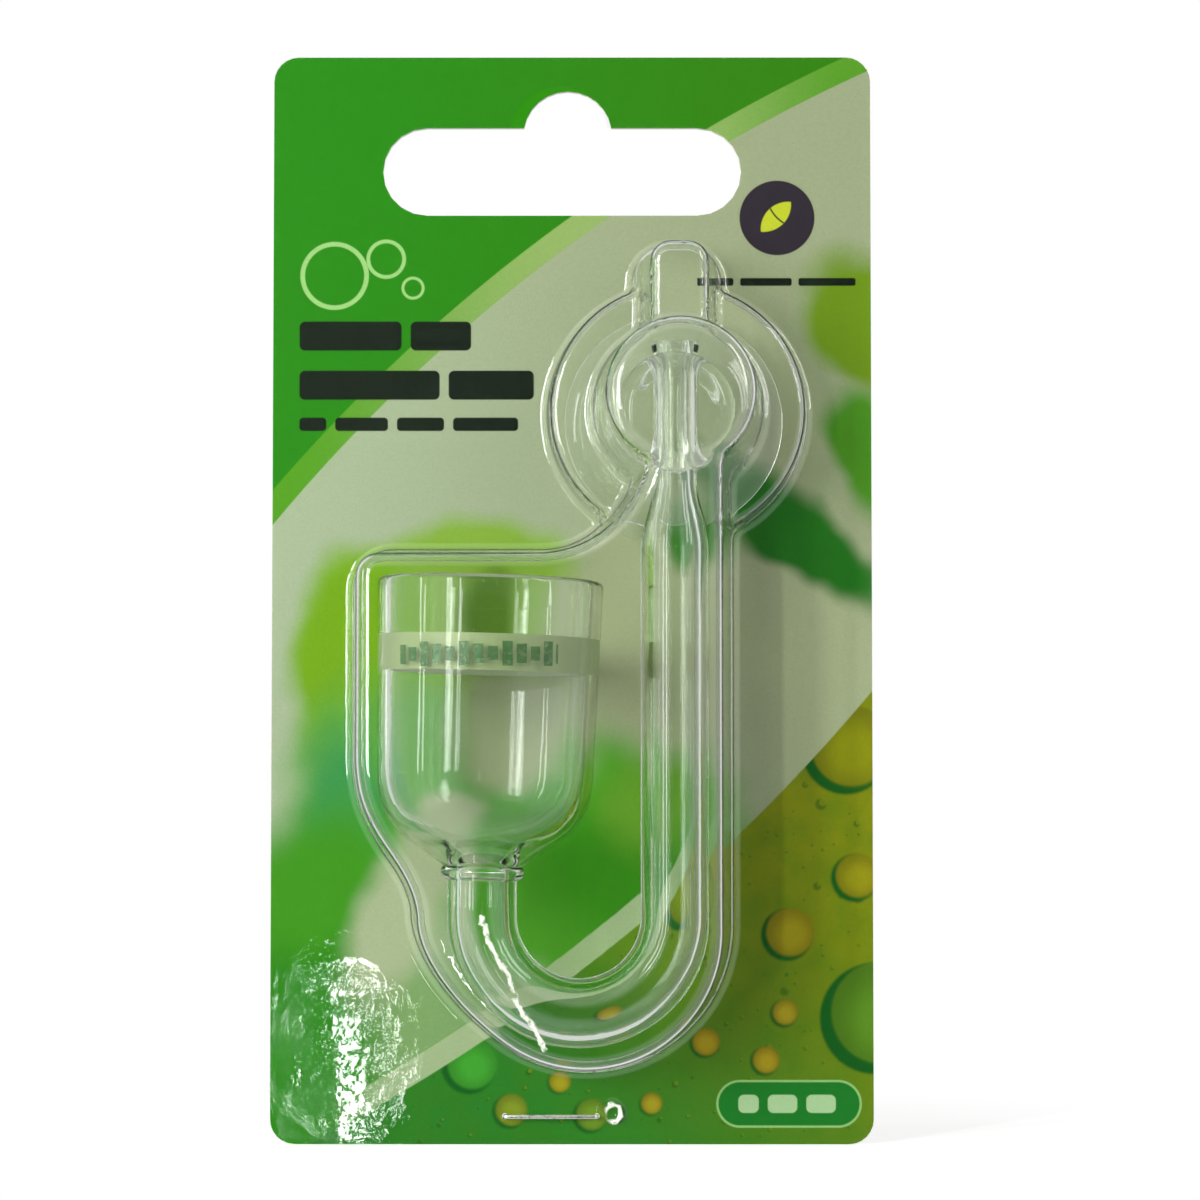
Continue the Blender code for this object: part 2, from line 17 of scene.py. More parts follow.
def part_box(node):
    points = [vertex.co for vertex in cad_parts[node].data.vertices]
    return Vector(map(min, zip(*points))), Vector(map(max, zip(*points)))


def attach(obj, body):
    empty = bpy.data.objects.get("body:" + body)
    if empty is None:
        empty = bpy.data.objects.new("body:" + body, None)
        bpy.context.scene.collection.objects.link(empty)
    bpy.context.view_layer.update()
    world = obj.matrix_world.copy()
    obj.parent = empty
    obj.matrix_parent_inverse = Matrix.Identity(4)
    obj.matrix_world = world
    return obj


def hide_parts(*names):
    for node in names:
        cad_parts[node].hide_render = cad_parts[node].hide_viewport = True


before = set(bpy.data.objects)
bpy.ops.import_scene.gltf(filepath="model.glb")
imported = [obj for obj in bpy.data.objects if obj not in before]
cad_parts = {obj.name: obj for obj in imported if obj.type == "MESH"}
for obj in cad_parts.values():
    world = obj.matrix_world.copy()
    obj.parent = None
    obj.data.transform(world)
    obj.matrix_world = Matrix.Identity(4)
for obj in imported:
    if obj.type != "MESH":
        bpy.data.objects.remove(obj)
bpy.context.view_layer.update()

MM = 0.001

# ---------------- sizes and places

card_low, card_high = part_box("backing_card")
tube_low, tube_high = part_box("glass_tube")
cup_low, cup_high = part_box("suction_cup")
staple_low, staple_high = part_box("staple")

CARD_FRONT_Y = card_low.y
CARD_CORNER = 2.2 * MM

SLOT_X = -0.9 * MM
SLOT_BOTTOM = 34.1 * MM
SLOT_HEIGHT = 7.9 * MM
SLOT_WIDTH = 32.0 * MM
NOTCH_X = -0.4 * MM
NOTCH_RADIUS = 3.95 * MM
NOTCH_TOP = 45.3 * MM

FILM_NOTCH_SHIFT = -0.8 * MM
FILM_NOTCH_MARGIN = 0.45 * MM
SHEET = 0.24 * MM
CAD_SHEET = 0.3 * MM
FLANGE_FRONT_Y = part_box("blister_shell")[1].y - CAD_SHEET

POCKET_DEPTH = 21.6 * MM
POCKET_DRAFT = 1.7 * MM
POCKET_EDGE = 1.4 * MM
POCKET_LEFT = -19.5 * MM
POCKET_RIGHT = 14.4 * MM
POCKET_TOP = 4.25 * MM
POCKET_CORNER = 3.6 * MM
BEND_POCKET_RADIUS = 13.05 * MM
BEND_POCKET_Z = -29.0 * MM
WAIST_X = -14.3 * MM
WAIST_Z = -28.3 * MM
STRIP_LEFT = 5.4 * MM
STEP_X = 9.3 * MM
STEP_Z = 16.1 * MM
STEP_RADIUS = 11.6 * MM
STEP_DEPTH = 5.6 * MM
STEP_DRAFT = 0.4 * MM
STEP_EDGE = 0.8 * MM
DOME_RADIUS = 8.1 * MM
DOME_DEPTH = 22.6 * MM
DOME_DRAFT = 1.9 * MM
DOME_EDGE = 1.4 * MM
NUB_HALF_WIDTH = 4.1 * MM
NUB_TOP = 31.3 * MM
NUB_CORNER = 3.4 * MM
NUB_DEPTH = 15.6 * MM
NUB_DRAFT = 1.7 * MM
NUB_EDGE = 0.9 * MM
FOOT_FILLET = 0.7 * MM

TUBE_RADIUS = (tube_high.y - tube_low.y) / 2
AXIS_Y = (tube_high.y + tube_low.y) / 2
TUBE_X = tube_high.x - TUBE_RADIUS
BELL_X = tube_low.x + TUBE_RADIUS
BEND_RADIUS = (TUBE_X - BELL_X) / 2
BEND_Z = tube_low.z + BEND_RADIUS + TUBE_RADIUS
MOUTH_Z = tube_high.z
TUBE_BORE = 2.0 * MM
TAPER_START = 3.5 * MM
TAPER_END = 9.5 * MM
NIPPLE_RADIUS = 1.85 * MM
NIPPLE_BORE = 1.1 * MM
LIP_RADIUS = 2.05 * MM

BELL_LEAN = math.radians(1.6)
BELL_RADIUS = 9.7 * MM
BELL_TAPER = 0.4 * MM
BELL_WALL = 1.0 * MM
BELL_RIM = 0.95 * MM
BELL_SHOULDER = -15.0 * MM
NECK_TOP = -23.7 * MM
NECK_END = -24.9 * MM
NECK_RADIUS = 3.4 * MM
COLLAR_RADIUS = 3.7 * MM

DISC_TOP = -4.0 * MM
DISC_THICKNESS = 3.1 * MM
DISC_RADIUS = 7.8 * MM
BEAD_CONTACT = 0.03 * MM

CUP_RADIUS = (cup_high.x - cup_low.x) / 2
CUP_FACE_Y = cup_high.y
CUP_Z = cup_high.z - CUP_RADIUS
CUP_RIM_WIDTH = 1.4 * MM
CUP_NECK_RADIUS = 3.2 * MM
KNOB_RADIUS = 5.1 * MM
KNOB_HALF_LENGTH = 4.5 * MM
CUP_BORE = 1.9 * MM
TAB_ANGLE = math.radians(249)
TAB_REACH = 11.0 * MM
TAB_HALF_WIDTH = 1.4 * MM

WIRE_RADIUS = (staple_high.z - staple_low.z) / 2
STAPLE_Z = (staple_high.z + staple_low.z) / 2
STAPLE_X = (staple_high.x + staple_low.x) / 2
STAPLE_LEG_TIP = 0.7 * MM
WIRE_SQUARENESS = 3.2

PUCKER_X = staple_high.x + 1.2 * MM
PUCKER_Z = STAPLE_Z + 0.3 * MM
PUCKER_REACH = 2.4 * MM
# The path of the painted highlight streak on the film over the bend, x and z in millimetres
STREAK_PATH = ((-7.3, -27.8), (-6.4, -30.4), (-5.0, -32.6), (-4.4, -34.6), (-1.9, -38.7))

EYE = Vector((3.1 * MM, CARD_FRONT_Y - 337 * MM, -17.7 * MM))
VIEW_MIDDLE = Vector((2.49 * MM, CARD_FRONT_Y, -0.27 * MM))
VIEW_WIDTH = 320 / 3 * MM

# brightness: what is seen behind the part, what it reflects (two), bounced light, the floor's own (two)
VISIBLE_SKY = 1.0
DIM_ROOM = 0.06
PALE_BACKDROP = 0.80
AMBIENT_SKY = 0.29
FLOOR_LIFT = 0.55
FLOOR_BOUNCE = 0.50

ROUND_STEPS = 120
WHITE = (1, 1, 1, 1)
FRONT_TO_BACK = (0, 1, 0)


# ---------------- mesh tools


def mesh_object(name, maker):
    """A mesh object in the scene, with its faces turned outward."""
    bmesh.ops.recalc_face_normals(maker, faces=maker.faces)
    mesh = bpy.data.meshes.new(name)
    maker.to_mesh(mesh)
    maker.free()
    thing = bpy.data.objects.new(name, mesh)
    bpy.context.scene.collection.objects.link(thing)
    return thing


def add_piece(name, maker, material, body, slot, *nodes, sharp=40):
    """A finished mesh that stands for CAD nodes and rides on their body."""
    piece = mesh_object(name, maker)
    piece.data.shade_smooth()
    piece.data.set_sharp_from_angle(angle=math.radians(sharp))
    piece.data.materials.append(material)
    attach(piece, body)
    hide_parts(*nodes)


def loft(rings, closed=False):
    """Skins rings of equal length. An open loft is capped; a closed one joins its last ring to its first."""
    maker = bmesh.new()
    rows = [[maker.verts.new(point) for point in ring] for ring in rings]
    pairs = list(zip(rows, rows[1:]))
    if closed:
        pairs.append((rows[-1], rows[0]))
    for first, second in pairs:
        for i in range(len(first)):
            j = (i + 1) % len(first)
            maker.faces.new((first[i], first[j], second[j], second[i]))
    if not closed:
        maker.faces.new(rows[0])
        maker.faces.new(rows[-1])
    return maker


def finished(thing):
    """The mesh of an object with its modifiers applied. The object is removed."""
    bpy.context.view_layer.update()
    evaluated = thing.evaluated_get(bpy.context.evaluated_depsgraph_get())
    maker = bmesh.new()
    maker.from_mesh(evaluated.to_mesh())
    evaluated.to_mesh_clear()
    bpy.data.objects.remove(thing)
    return maker


def arc(centre_x, centre_z, radius, start, end, steps):
    """Points along an arc, angles in degrees from +X towards +Z."""
    points = []
    for i in range(steps + 1):
        angle = math.radians(start + (end - start) * i / steps)
        points.append((centre_x + radius * math.cos(angle), centre_z + radius * math.sin(angle)))
    return points


def curve_through(start, start_pull, end_pull, end, steps):
    """Points of a cubic Bezier curve, without its first point."""
    points = []
    controls = (start, start_pull, end_pull, end)
    for i in range(1, steps + 1):
        t = i / steps
        weights = ((1 - t) ** 3, 3 * t * (1 - t) ** 2, 3 * t * t * (1 - t), t**3)
        points.append(tuple(sum(w * c[k] for w, c in zip(weights, controls)) for k in (0, 1)))
    return points


def carry_on(points, start_pull, end_pull, end, steps):
    """Lengthens a line of points by a cubic Bezier curve from its last point."""
    points += curve_through(points[-1], start_pull, end_pull, end, steps)


def rounded_rectangle(left, right, bottom, top, radius, steps=24):
    outline = arc(right - radius, top - radius, radius, 0, 90, steps)
    outline += arc(left + radius, top - radius, radius, 90, 180, steps)
    outline += arc(left + radius, bottom + radius, radius, 180, 270, steps)
    outline += arc(right - radius, bottom + radius, radius, 270, 360, steps)
    return outline


def circle_ring(place, across, side, radius, steps=ROUND_STEPS):
    ring = []
    for i in range(steps):
        turn = 2 * math.pi * i / steps
        ring.append(place + radius * (math.cos(turn) * across + math.sin(turn) * side))
    return ring


def ease(t):
    return t * t * (3 - 2 * t)


# ---------------- the blister film


def film_slot_outline():
    """The film's hang slot. Its hook notch is cut a little wide and to the left of the card's."""
    end_radius = SLOT_HEIGHT / 2
    middle = SLOT_BOTTOM + end_radius
    right = SLOT_X + SLOT_WIDTH / 2 - end_radius
    left = SLOT_X - SLOT_WIDTH / 2 + end_radius
    notch_radius = NOTCH_RADIUS + FILM_NOTCH_MARGIN
    notch_x = NOTCH_X + FILM_NOTCH_SHIFT
    notch_z = NOTCH_TOP - NOTCH_RADIUS
    start = math.degrees(math.asin((middle + end_radius - notch_z) / notch_radius))
    outline = arc(right, middle, end_radius, -90, 90, 40)
    outline += arc(notch_x, notch_z, notch_radius, start, 180 - start, 40)
    outline += arc(left, middle, end_radius, 90, 270, 40)
    return outline


def pocket_outline():
    """The foot of the main pocket: it follows the bell, the bend and the long leg."""
    bend_x = POCKET_RIGHT - BEND_POCKET_RADIUS
    bend_end = -125
    leaves = math.radians(bend_end)
    outline = arc(bend_x, BEND_POCKET_Z, BEND_POCKET_RADIUS, 0, bend_end, 60)
    leaving = outline[-1]
    pull = 4.5 * MM
    leaving_pull = (leaving[0] + pull * math.sin(leaves), leaving[1] - pull * math.cos(leaves))
    cheek = (POCKET_LEFT + 1.9 * MM, WAIST_Z + 6.9 * MM)
    wall_foot = (POCKET_LEFT, BELL_SHOULDER + 1.0 * MM)
    strip_radius = (POCKET_RIGHT - STRIP_LEFT) / 2

    carry_on(outline, leaving_pull, (WAIST_X + 0.3 * MM, WAIST_Z - 4.2 * MM), (WAIST_X, WAIST_Z), 24)
    cheek_pull = (cheek[0] + 1.4 * MM, cheek[1] - 2.4 * MM)
    carry_on(outline, (WAIST_X, WAIST_Z + 2.7 * MM), cheek_pull, cheek, 20)
    cheek_pull = (cheek[0] - 1.2 * MM, cheek[1] + 2.1 * MM)
    carry_on(outline, cheek_pull, (POCKET_LEFT, wall_foot[1] - 3.4 * MM), wall_foot, 20)
    outline += arc(POCKET_LEFT + POCKET_CORNER, POCKET_TOP - POCKET_CORNER, POCKET_CORNER, 180, 90, 24)
    outline.append((-2.8 * MM, POCKET_TOP))
    carry_on(outline, (1.5 * MM, POCKET_TOP), (4.6 * MM, 7.5 * MM), (STRIP_LEFT, 12.5 * MM), 36)
    outline += arc(STRIP_LEFT + strip_radius, STEP_Z, strip_radius, 180, 0, 40)
    outline.reverse()
    return outline


def nub_outline():
    left = STEP_X - NUB_HALF_WIDTH
    right = STEP_X + NUB_HALF_WIDTH
    return rounded_rectangle(left, right, STEP_Z - NUB_HALF_WIDTH, NUB_TOP, NUB_CORNER)


def film_forms():
    """(foot outline, depth, draft, edge radius) of each raised form of the blister."""
    step_foot = arc(STEP_X, STEP_Z, STEP_RADIUS, 0, 358, 179)
    dome_foot = arc(STEP_X, STEP_Z, DOME_RADIUS, 0, 358, 179)
    return (
        (np.array(pocket_outline()), POCKET_DEPTH, POCKET_DRAFT, POCKET_EDGE),
        (np.array(step_foot), STEP_DEPTH, STEP_DRAFT, STEP_EDGE),
        (np.array(dome_foot), DOME_DEPTH, DOME_DRAFT, DOME_EDGE),
        (np.array(nub_outline()), NUB_DEPTH, NUB_DRAFT, NUB_EDGE),
    )


def inside_distance(points, outline):
    """How far each point lies inside a closed outline. Outside it is negative."""
    nearest = np.full(len(points), 1.0)
    inside = np.zeros(len(points), bool)
    for start, end in zip(outline, np.roll(outline, -1, axis=0)):
        along = end - start
        length = along @ along
        if length == 0:
            continue
        from_start = points - start
        share = np.clip(from_start @ along / length, 0, 1)
        nearest = np.minimum(nearest, np.hypot(*(from_start - share[:, None] * along).T))
        crosses = (start[1] > points[:, 1]) != (end[1] > points[:, 1])
        rise = along[1] if along[1] else 1.0
        inside ^= crosses & (points[:, 0] < start[0] + (points[:, 1] - start[1]) * along[0] / rise)
    return np.where(inside, nearest, -nearest)


def round_union(first, second, radius):
    """Joins two distance fields, with a round fillet in the corner between them."""
    gap = np.hypot(np.maximum(radius - first, 0), np.maximum(radius - second, 0))
    return np.maximum(radius, np.minimum(first, second)) - gap


def film_height(points, forms):
    """How far the film stands out in front of its flange at each point, found by halving the range."""
    distances = [inside_distance(points, form[0]) for form in forms]
    low = np.zeros(len(points))
    high = np.full(len(points), DOME_DEPTH + 1.0 * MM)
    for _ in range(26):
        middle = (low + high) / 2
        field = middle
        for distance, (depth, draft, edge) in zip(distances, (form[1:] for form in forms)):
            slope = draft / depth
            wall = (slope * middle - distance) * math.cos(math.atan(slope)) + edge
            roof = middle - depth + edge
            form = np.minimum(np.maximum(wall, roof), 0) - edge
            form = form + np.hypot(np.maximum(wall, 0), np.maximum(roof, 0))
            field = round_union(field, form, FOOT_FILLET)
        low = np.where(field < 0, middle, low)
        high = np.where(field < 0, high, middle)
    return high


def walk(outline, spacing):
    """Evenly spaced (place, outward direction) along a counter-clockwise closed outline."""
    ends = np.roll(outline, -1, axis=0)
    lengths = np.hypot(*(ends - outline).T)
    total = np.concatenate(([0], np.cumsum(lengths)))
    count = int(total[-1] / spacing)
    closed = np.vstack((outline, outline[:1]))
    at = np.arange(count) * total[-1] / count
    places = np.column_stack([np.interp(at, total, closed[:, k]) for k in (0, 1)])
    along = np.roll(places, -1, axis=0) - np.roll(places, 1, axis=0)
    along /= np.hypot(*along.T)[:, None]
    return places, np.column_stack((along[:, 1], -along[:, 0]))


def film_points(forms, outer, slot):
    """Sample points: rings round each form's foot, fillet, wall and edge, a grid, and rings for the pucker.

    The two outermost rings keep the fillet's shading from spilling over the flat flange.
    """
    clouds = [outer, slot]
    for outline, depth, draft, edge in forms:
        places, outward = walk(outline, 0.36 * MM)
        straight = draft * (depth - edge) / depth
        offsets = [-FOOT_FILLET - 0.3 * MM, -FOOT_FILLET - 0.12 * MM]
        offsets += [-FOOT_FILLET * (1 - math.sin(math.radians(a))) for a in range(0, 86, 12)]
        offsets += [straight * share for share in (0.02, 0.1, 0.22, 0.36, 0.52, 0.7, 0.86, 0.96)]
        offsets += [straight + edge * (1 - math.cos(math.radians(a))) for a in range(12, 97, 12)]
        clouds += [places - outward * offset for offset in offsets]
    step = 1.1 * MM
    columns = np.arange(outer[:, 0].min() + step, outer[:, 0].max() - step / 2, step)
    rows = np.arange(outer[:, 1].min() + step, outer[:, 1].max() - step / 2, step)
    grid = np.array([(x, z) for z in rows for x in columns])
    clouds.append(grid[np.hypot(*(grid - (PUCKER_X, PUCKER_Z)).T) >= PUCKER_REACH])
    ring_count = 12
    for r in range(1, ring_count + 1):
        clouds.append(np.array(arc(PUCKER_X, PUCKER_Z, r * 0.2 * MM, 0, 345, 23)))
    return thin_out(np.vstack(clouds), len(outer) + len(slot), 0.07 * MM)


def thin_out(points, keep, gap):
    """Drops every point that lies closer than the gap to an earlier one, but never the first ones."""
    cells = {}
    kept = []
    for i, (x, z) in enumerate(points):
        column = int(x // gap)
        row = int(z // gap)
        near = [
            other
            for c in (column - 1, column, column + 1)
            for r in (row - 1, row, row + 1)
            for other in cells.get((c, r), ())
        ]
        if i >= keep and any((x - a) ** 2 + (z - b) ** 2 < gap * gap for a, b in near):
            continue
        cells.setdefault((column, row), []).append((x, z))
        kept.append((x, z))
    return np.array(kept)


def film_waves(points, height):
    """Small unevenness of the formed sheet: slow waves, and a pucker in the flange beside the staple."""
    x, z = points.T / MM
    slow = np.sin(0.31 * x + 1.3 * np.sin(0.17 * z)) * np.sin(0.23 * z + 0.9 * np.sin(0.21 * x))
    away = np.hypot(*(points - (PUCKER_X, PUCKER_Z)).T) / MM
    angle = np.arctan2(points[:, 1] - PUCKER_Z, points[:, 0] - PUCKER_X)
    pucker = np.exp(-((away - 0.95) / 0.32) ** 2) * (0.6 + 0.4 * np.cos(angle - 0.6))
    raised = np.clip(height / (0.5 * MM), 0, 1)
    flange_wave = 0.006 * MM
    form_wave = 0.012 * MM
    pucker_height = 0.16 * MM
    flange = flange_wave * (1 + slow) + pucker_height * pucker
    return (1 - raised) * flange + raised * form_wave * slow


def build_film(material):
    outer = np.array(rounded_rectangle(card_low.x, card_high.x, card_low.z, card_high.z, CARD_CORNER))
    slot = np.array(film_slot_outline())
    forms = film_forms()
    points = film_points(forms, outer, slot)
    inside = (inside_distance(points, outer) > -1e-7) & (inside_distance(points, slot) < 1e-7)
    inside[: len(outer) + len(slot)] = True
    points = points[inside]
    rims = [(i, (i + 1) % len(outer)) for i in range(len(outer))]
    base = len(outer)
    rims += [(base + i, base + (i + 1) % len(slot)) for i in range(len(slot))]
    net = delaunay_2d_cdt([Vector(point) for point in points / MM], rims, [], 1, 1e-6)
    places = np.array(net[0]) * MM
    faces = net[2]
    height = film_height(places, forms)
    height = height + film_waves(places, height)
    middles = np.array([places[list(face)].mean(axis=0) for face in faces])
    solid = inside_distance(middles, slot) < 0
    maker = bmesh.new()
    verts = [maker.verts.new((x, FLANGE_FRONT_Y - h, z)) for (x, z), h in zip(places, height)]
    for face, keep in zip(faces, solid):
        if keep:
            maker.faces.new([verts[i] for i in face])
    loose = [vert for vert in maker.verts if not vert.link_faces]
    bmesh.ops.delete(maker, geom=loose, context="VERTS")
    sheet = mesh_object("sheet", maker)
    if sheet.data.polygons[0].normal.y > 0:
        sheet.data.flip_normals()
    thickness = sheet.modifiers.new("thickness", "SOLIDIFY")
    thickness.thickness = SHEET
    thickness.offset = -1
    add_piece("blister_film", finished(sheet), material, "blister", "clear_film", "blister_shell", sharp=60)


# ---------------- the glass


def shoulder(start_radius, end_radius, start_z, end_z):
    """The round bottom of the bell: it drops from the straight wall and flows into the neck."""
    run = start_radius - end_radius
    drop = start_z - end_z

    def at(share_of_run, share_of_drop):
        return (start_radius - share_of_run * run, start_z - share_of_drop * drop)

    points = [at(0, 0)]
    turn = at(0.53, 0.78)
    points += curve_through(at(0, 0), at(0, 0.44), at(0.17, 0.62), turn, 22)
    points += curve_through(turn, at(0.73, 0.87), at(0.93, 0.955), at(1, 1), 14)
    return points


def bell_stations():
    """(place, direction across, radius) down the outside of the bell, and down its inside."""
    lean = Matrix.Rotation(BELL_LEAN, 3, "Y")
    neck = Vector((BELL_X, AXIS_Y, NECK_END))
    across = lean @ Vector((-1, 0, 0))
    lip = BELL_WALL / 2
    low_radius = BELL_RADIUS - BELL_TAPER
    rim_outer = arc(BELL_RADIUS - lip, BELL_RIM - lip, lip, 90, 0, 8)
    rim_inner = arc(BELL_RADIUS - lip, BELL_RIM - lip, lip, 90, 180, 8)[1:]
    wall = []
    for i in range(1, 8):
        down = i / 8
        z = BELL_RIM - lip + (BELL_SHOULDER - BELL_RIM + lip) * down
        wall.append((BELL_RADIUS - BELL_TAPER * down, z))
    outer = rim_outer + wall + shoulder(low_radius, NECK_RADIUS, BELL_SHOULDER, NECK_TOP)
    collar_pulls = ((COLLAR_RADIUS, NECK_TOP - 0.2 * MM), (COLLAR_RADIUS, NECK_END + 0.2 * MM))
    outer += curve_through((NECK_RADIUS, NECK_TOP), *collar_pulls, (TUBE_RADIUS, NECK_END), 10)
    inner = rim_inner + [(radius - BELL_WALL, z) for radius, z in wall]
    inner += shoulder(low_radius - BELL_WALL, TUBE_BORE, BELL_SHOULDER, NECK_TOP + 0.9 * BELL_WALL)

    def placed(profile):
        return [(neck + lean @ Vector((0, 0, z - NECK_END)), across, radius) for radius, z in profile]

    return placed(outer), placed(inner)


def tube_stations(radius, nipple_radius):
    """One wall of the tube, from the neck round the bend and up to the start of the mouth."""
    stations = []
    left = Vector((-1, 0, 0))
    right = Vector((1, 0, 0))
    for z in (NECK_END - 0.6 * MM, NECK_END - 1.8 * MM):
        stations.append((Vector((BELL_X, AXIS_Y, z)), left, radius))
    centre = Vector(((BELL_X + TUBE_X) / 2, AXIS_Y, BEND_Z))
    bend_steps = 72
    for i in range(bend_steps + 1):
        turn = math.pi + math.pi * i / bend_steps
        across = Vector((math.cos(turn), 0, math.sin(turn)))
        stations.append((centre + BEND_RADIUS * across, across, radius))
    for z in (-20 * MM, -12 * MM, -4 * MM, 1 * MM):
        stations.append((Vector((TUBE_X, AXIS_Y, z)), right, radius))
    taper_steps = 20
    for i in range(taper_steps + 1):
        t = i / taper_steps
        z = TAPER_START + t * (TAPER_END - TAPER_START)
        stations.append((Vector((TUBE_X, AXIS_Y, z)), right, radius + (nipple_radius - radius) * ease(t)))
    return stations


def mouth_stations():
    """The fire-polished bead round the mouth of the nipple: outside, over the end, and inside."""
    right = Vector((1, 0, 0))
    end = 0.35 * MM
    profile = [(NIPPLE_RADIUS, MOUTH_Z - 1.6 * MM), (NIPPLE_RADIUS, MOUTH_Z - 1.2 * MM)]
    swell_z = MOUTH_Z - 0.9 * MM
    lip_foot = (LIP_RADIUS, MOUTH_Z - end)
    carry_on(profile, (NIPPLE_RADIUS + 0.02 * MM, swell_z), (LIP_RADIUS, swell_z), lip_foot, 8)
    profile += arc(LIP_RADIUS - end, MOUTH_Z - end, end, 0, 90, 6)[1:]
    profile += [(radius, z) for radius, z in arc(NIPPLE_BORE + end, MOUTH_Z - end, end, 90, 180, 6)]
    return [(Vector((TUBE_X, AXIS_Y, z)), right, radius) for radius, z in profile]


def build_glass(material):
    bell_outer, bell_inner = bell_stations()
    outer = bell_outer + tube_stations(TUBE_RADIUS, NIPPLE_RADIUS) + mouth_stations()
    inner = bell_inner + tube_stations(TUBE_BORE, NIPPLE_BORE)
    inner.reverse()
    side = Vector((0, 1, 0))
    rings = [circle_ring(place, across, side, radius) for place, across, radius in outer + inner]
    nodes = ("glass_bell", "glass_tube")
    add_piece("fused_glass", loft(rings, closed=True), material, "diffuser", "clear_glass", *nodes, sharp=60)


# ---------------- the disc and its bead


def bell_ring(radius, z, ripple=None):
    """A ring square to the bell's leaning axis."""
    lean = Matrix.Rotation(BELL_LEAN, 3, "Y")
    centre = Vector((BELL_X, AXIS_Y, NECK_END))
    ring = []
    for i in range(ROUND_STEPS):
        turn = 2 * math.pi * i / ROUND_STEPS
        rise = ripple(radius, turn) if ripple else 0.0
        point = Vector((radius * math.cos(turn), radius * math.sin(turn), z + rise - NECK_END))
        ring.append(centre + lean @ point)
    return ring


def build_disc(material):
    """Sintered ceramic: a rounded edge and faces that are slightly uneven."""
    edge = 0.3 * MM
    bottom = DISC_TOP - DISC_THICKNESS
    middle = 0.2 * MM
    radii = [middle + (DISC_RADIUS - edge - middle) * i / 10 for i in range(11)]
    profile = [(radius, DISC_TOP) for radius in radii]
    profile += arc(DISC_RADIUS - edge, DISC_TOP - edge, edge, 90, 0, 5)[1:]
    profile += arc(DISC_RADIUS - edge, bottom + edge, edge, 0, -90, 5)
    profile += [(radius, bottom) for radius in reversed(radii[:10])]

    def grain(radius, turn):
        wave = math.sin(radius * 3100 + 2 * math.sin(5 * turn)) * math.sin(9 * turn + radius * 1700)
        return 0.015 * MM * wave * min(1.0, radius / MM)

    rings = [bell_ring(radius, z, grain) for radius, z in profile]
    add_piece("sintered_disc", loft(rings), material, "diffuser", "porous_ceramic", "ceramic_disc", sharp=50)


def bell_inside(z):
    """The radius of the bell's inner wall at a height above its shoulder."""
    return BELL_RADIUS - BELL_WALL - BELL_TAPER * (BELL_RIM - z) / (BELL_RIM - BELL_SHOULDER)


def build_bead(material):
    """Silicone that bonds the disc into the bell, drawn up into a meniscus at top and bottom."""
    inner = DISC_RADIUS + 0.06 * MM
    sag = 0.25 * MM
    profile = []
    for level, into, steps in (
        (DISC_TOP, 1, range(9)),
        (DISC_TOP - DISC_THICKNESS, -1, range(8, -1, -1)),
    ):
        for side in (i / 8 for i in steps):
            z = level - into * sag * (1 - (2 * side - 1) ** 2)
            profile.append((inner + side * (bell_inside(z) + BEAD_CONTACT - inner), z))
    rings = [bell_ring(radius, z) for radius, z in profile]
    maker = loft(rings, closed=True)
    add_piece("silicone_bead", maker, material, "diffuser", "clear_silicone", "disc_bead")


# ---------------- the suction cup


def cup_profile():
    """(radius, distance in front of the rim), from the middle of the hollow round to the knob's front."""
    knob_middle = CUP_FACE_Y - AXIS_Y
    knob_back = knob_middle - KNOB_HALF_LENGTH
    knob_front = knob_middle + KNOB_HALF_LENGTH
    rim_inner = CUP_RADIUS - CUP_RIM_WIDTH
    tip = 0.2 * MM
    hollow = 1.9 * MM
    neck = CUP_NECK_RADIUS
    profile = [(tip, hollow)]
    carry_on(profile, (0.5 * rim_inner, hollow), (0.8 * rim_inner, 1.1 * MM), (rim_inner, 0), 16)
    profile += [(CUP_RADIUS - 0.15 * MM, 0), (CUP_RADIUS, 0.15 * MM), (CUP_RADIUS, 0.45 * MM)]
    flank = ((CUP_RADIUS - 1.2 * MM, 1.5 * MM), (neck + 3.0 * MM, 2.9 * MM), (neck + 0.7 * MM, 3.25 * MM))
    carry_on(profile, *flank, 16)
    throat = ((neck + 0.1 * MM, 3.4 * MM), (neck, knob_back - 0.3 * MM), (neck + 0.5 * MM, knob_back))
    carry_on(profile, *throat, 8)
    back_pull = (KNOB_RADIUS - 0.6 * MM, knob_back + 0.1 * MM)
    carry_on(profile, back_pull, (KNOB_RADIUS, knob_back + 0.7 * MM), (KNOB_RADIUS, knob_back + 1.6 * MM), 8)
    front = ((KNOB_RADIUS, knob_front - 1.8 * MM), (KNOB_RADIUS, knob_front - 0.7 * MM))
    face = ((KNOB_RADIUS - 0.8 * MM, knob_front), (KNOB_RADIUS - 2.0 * MM, knob_front))
    profile += curve_through(*front, *face, 10)
    profile.append((tip, knob_front))
    return profile


def tab_outline():
    """The pull tab at the rim, about the cup's own middle."""
    root = CUP_RADIUS - 0.6 * CUP_RIM_WIDTH
    end = TAB_REACH - TAB_HALF_WIDTH
    points = [(root, -TAB_HALF_WIDTH)]
    points += arc(end, 0, TAB_HALF_WIDTH, -90, 90, 20)[1:-1]
    points.append((root, TAB_HALF_WIDTH))
    turn = Matrix.Rotation(TAB_ANGLE, 2)
    return [turn @ Vector(point) for point in points]


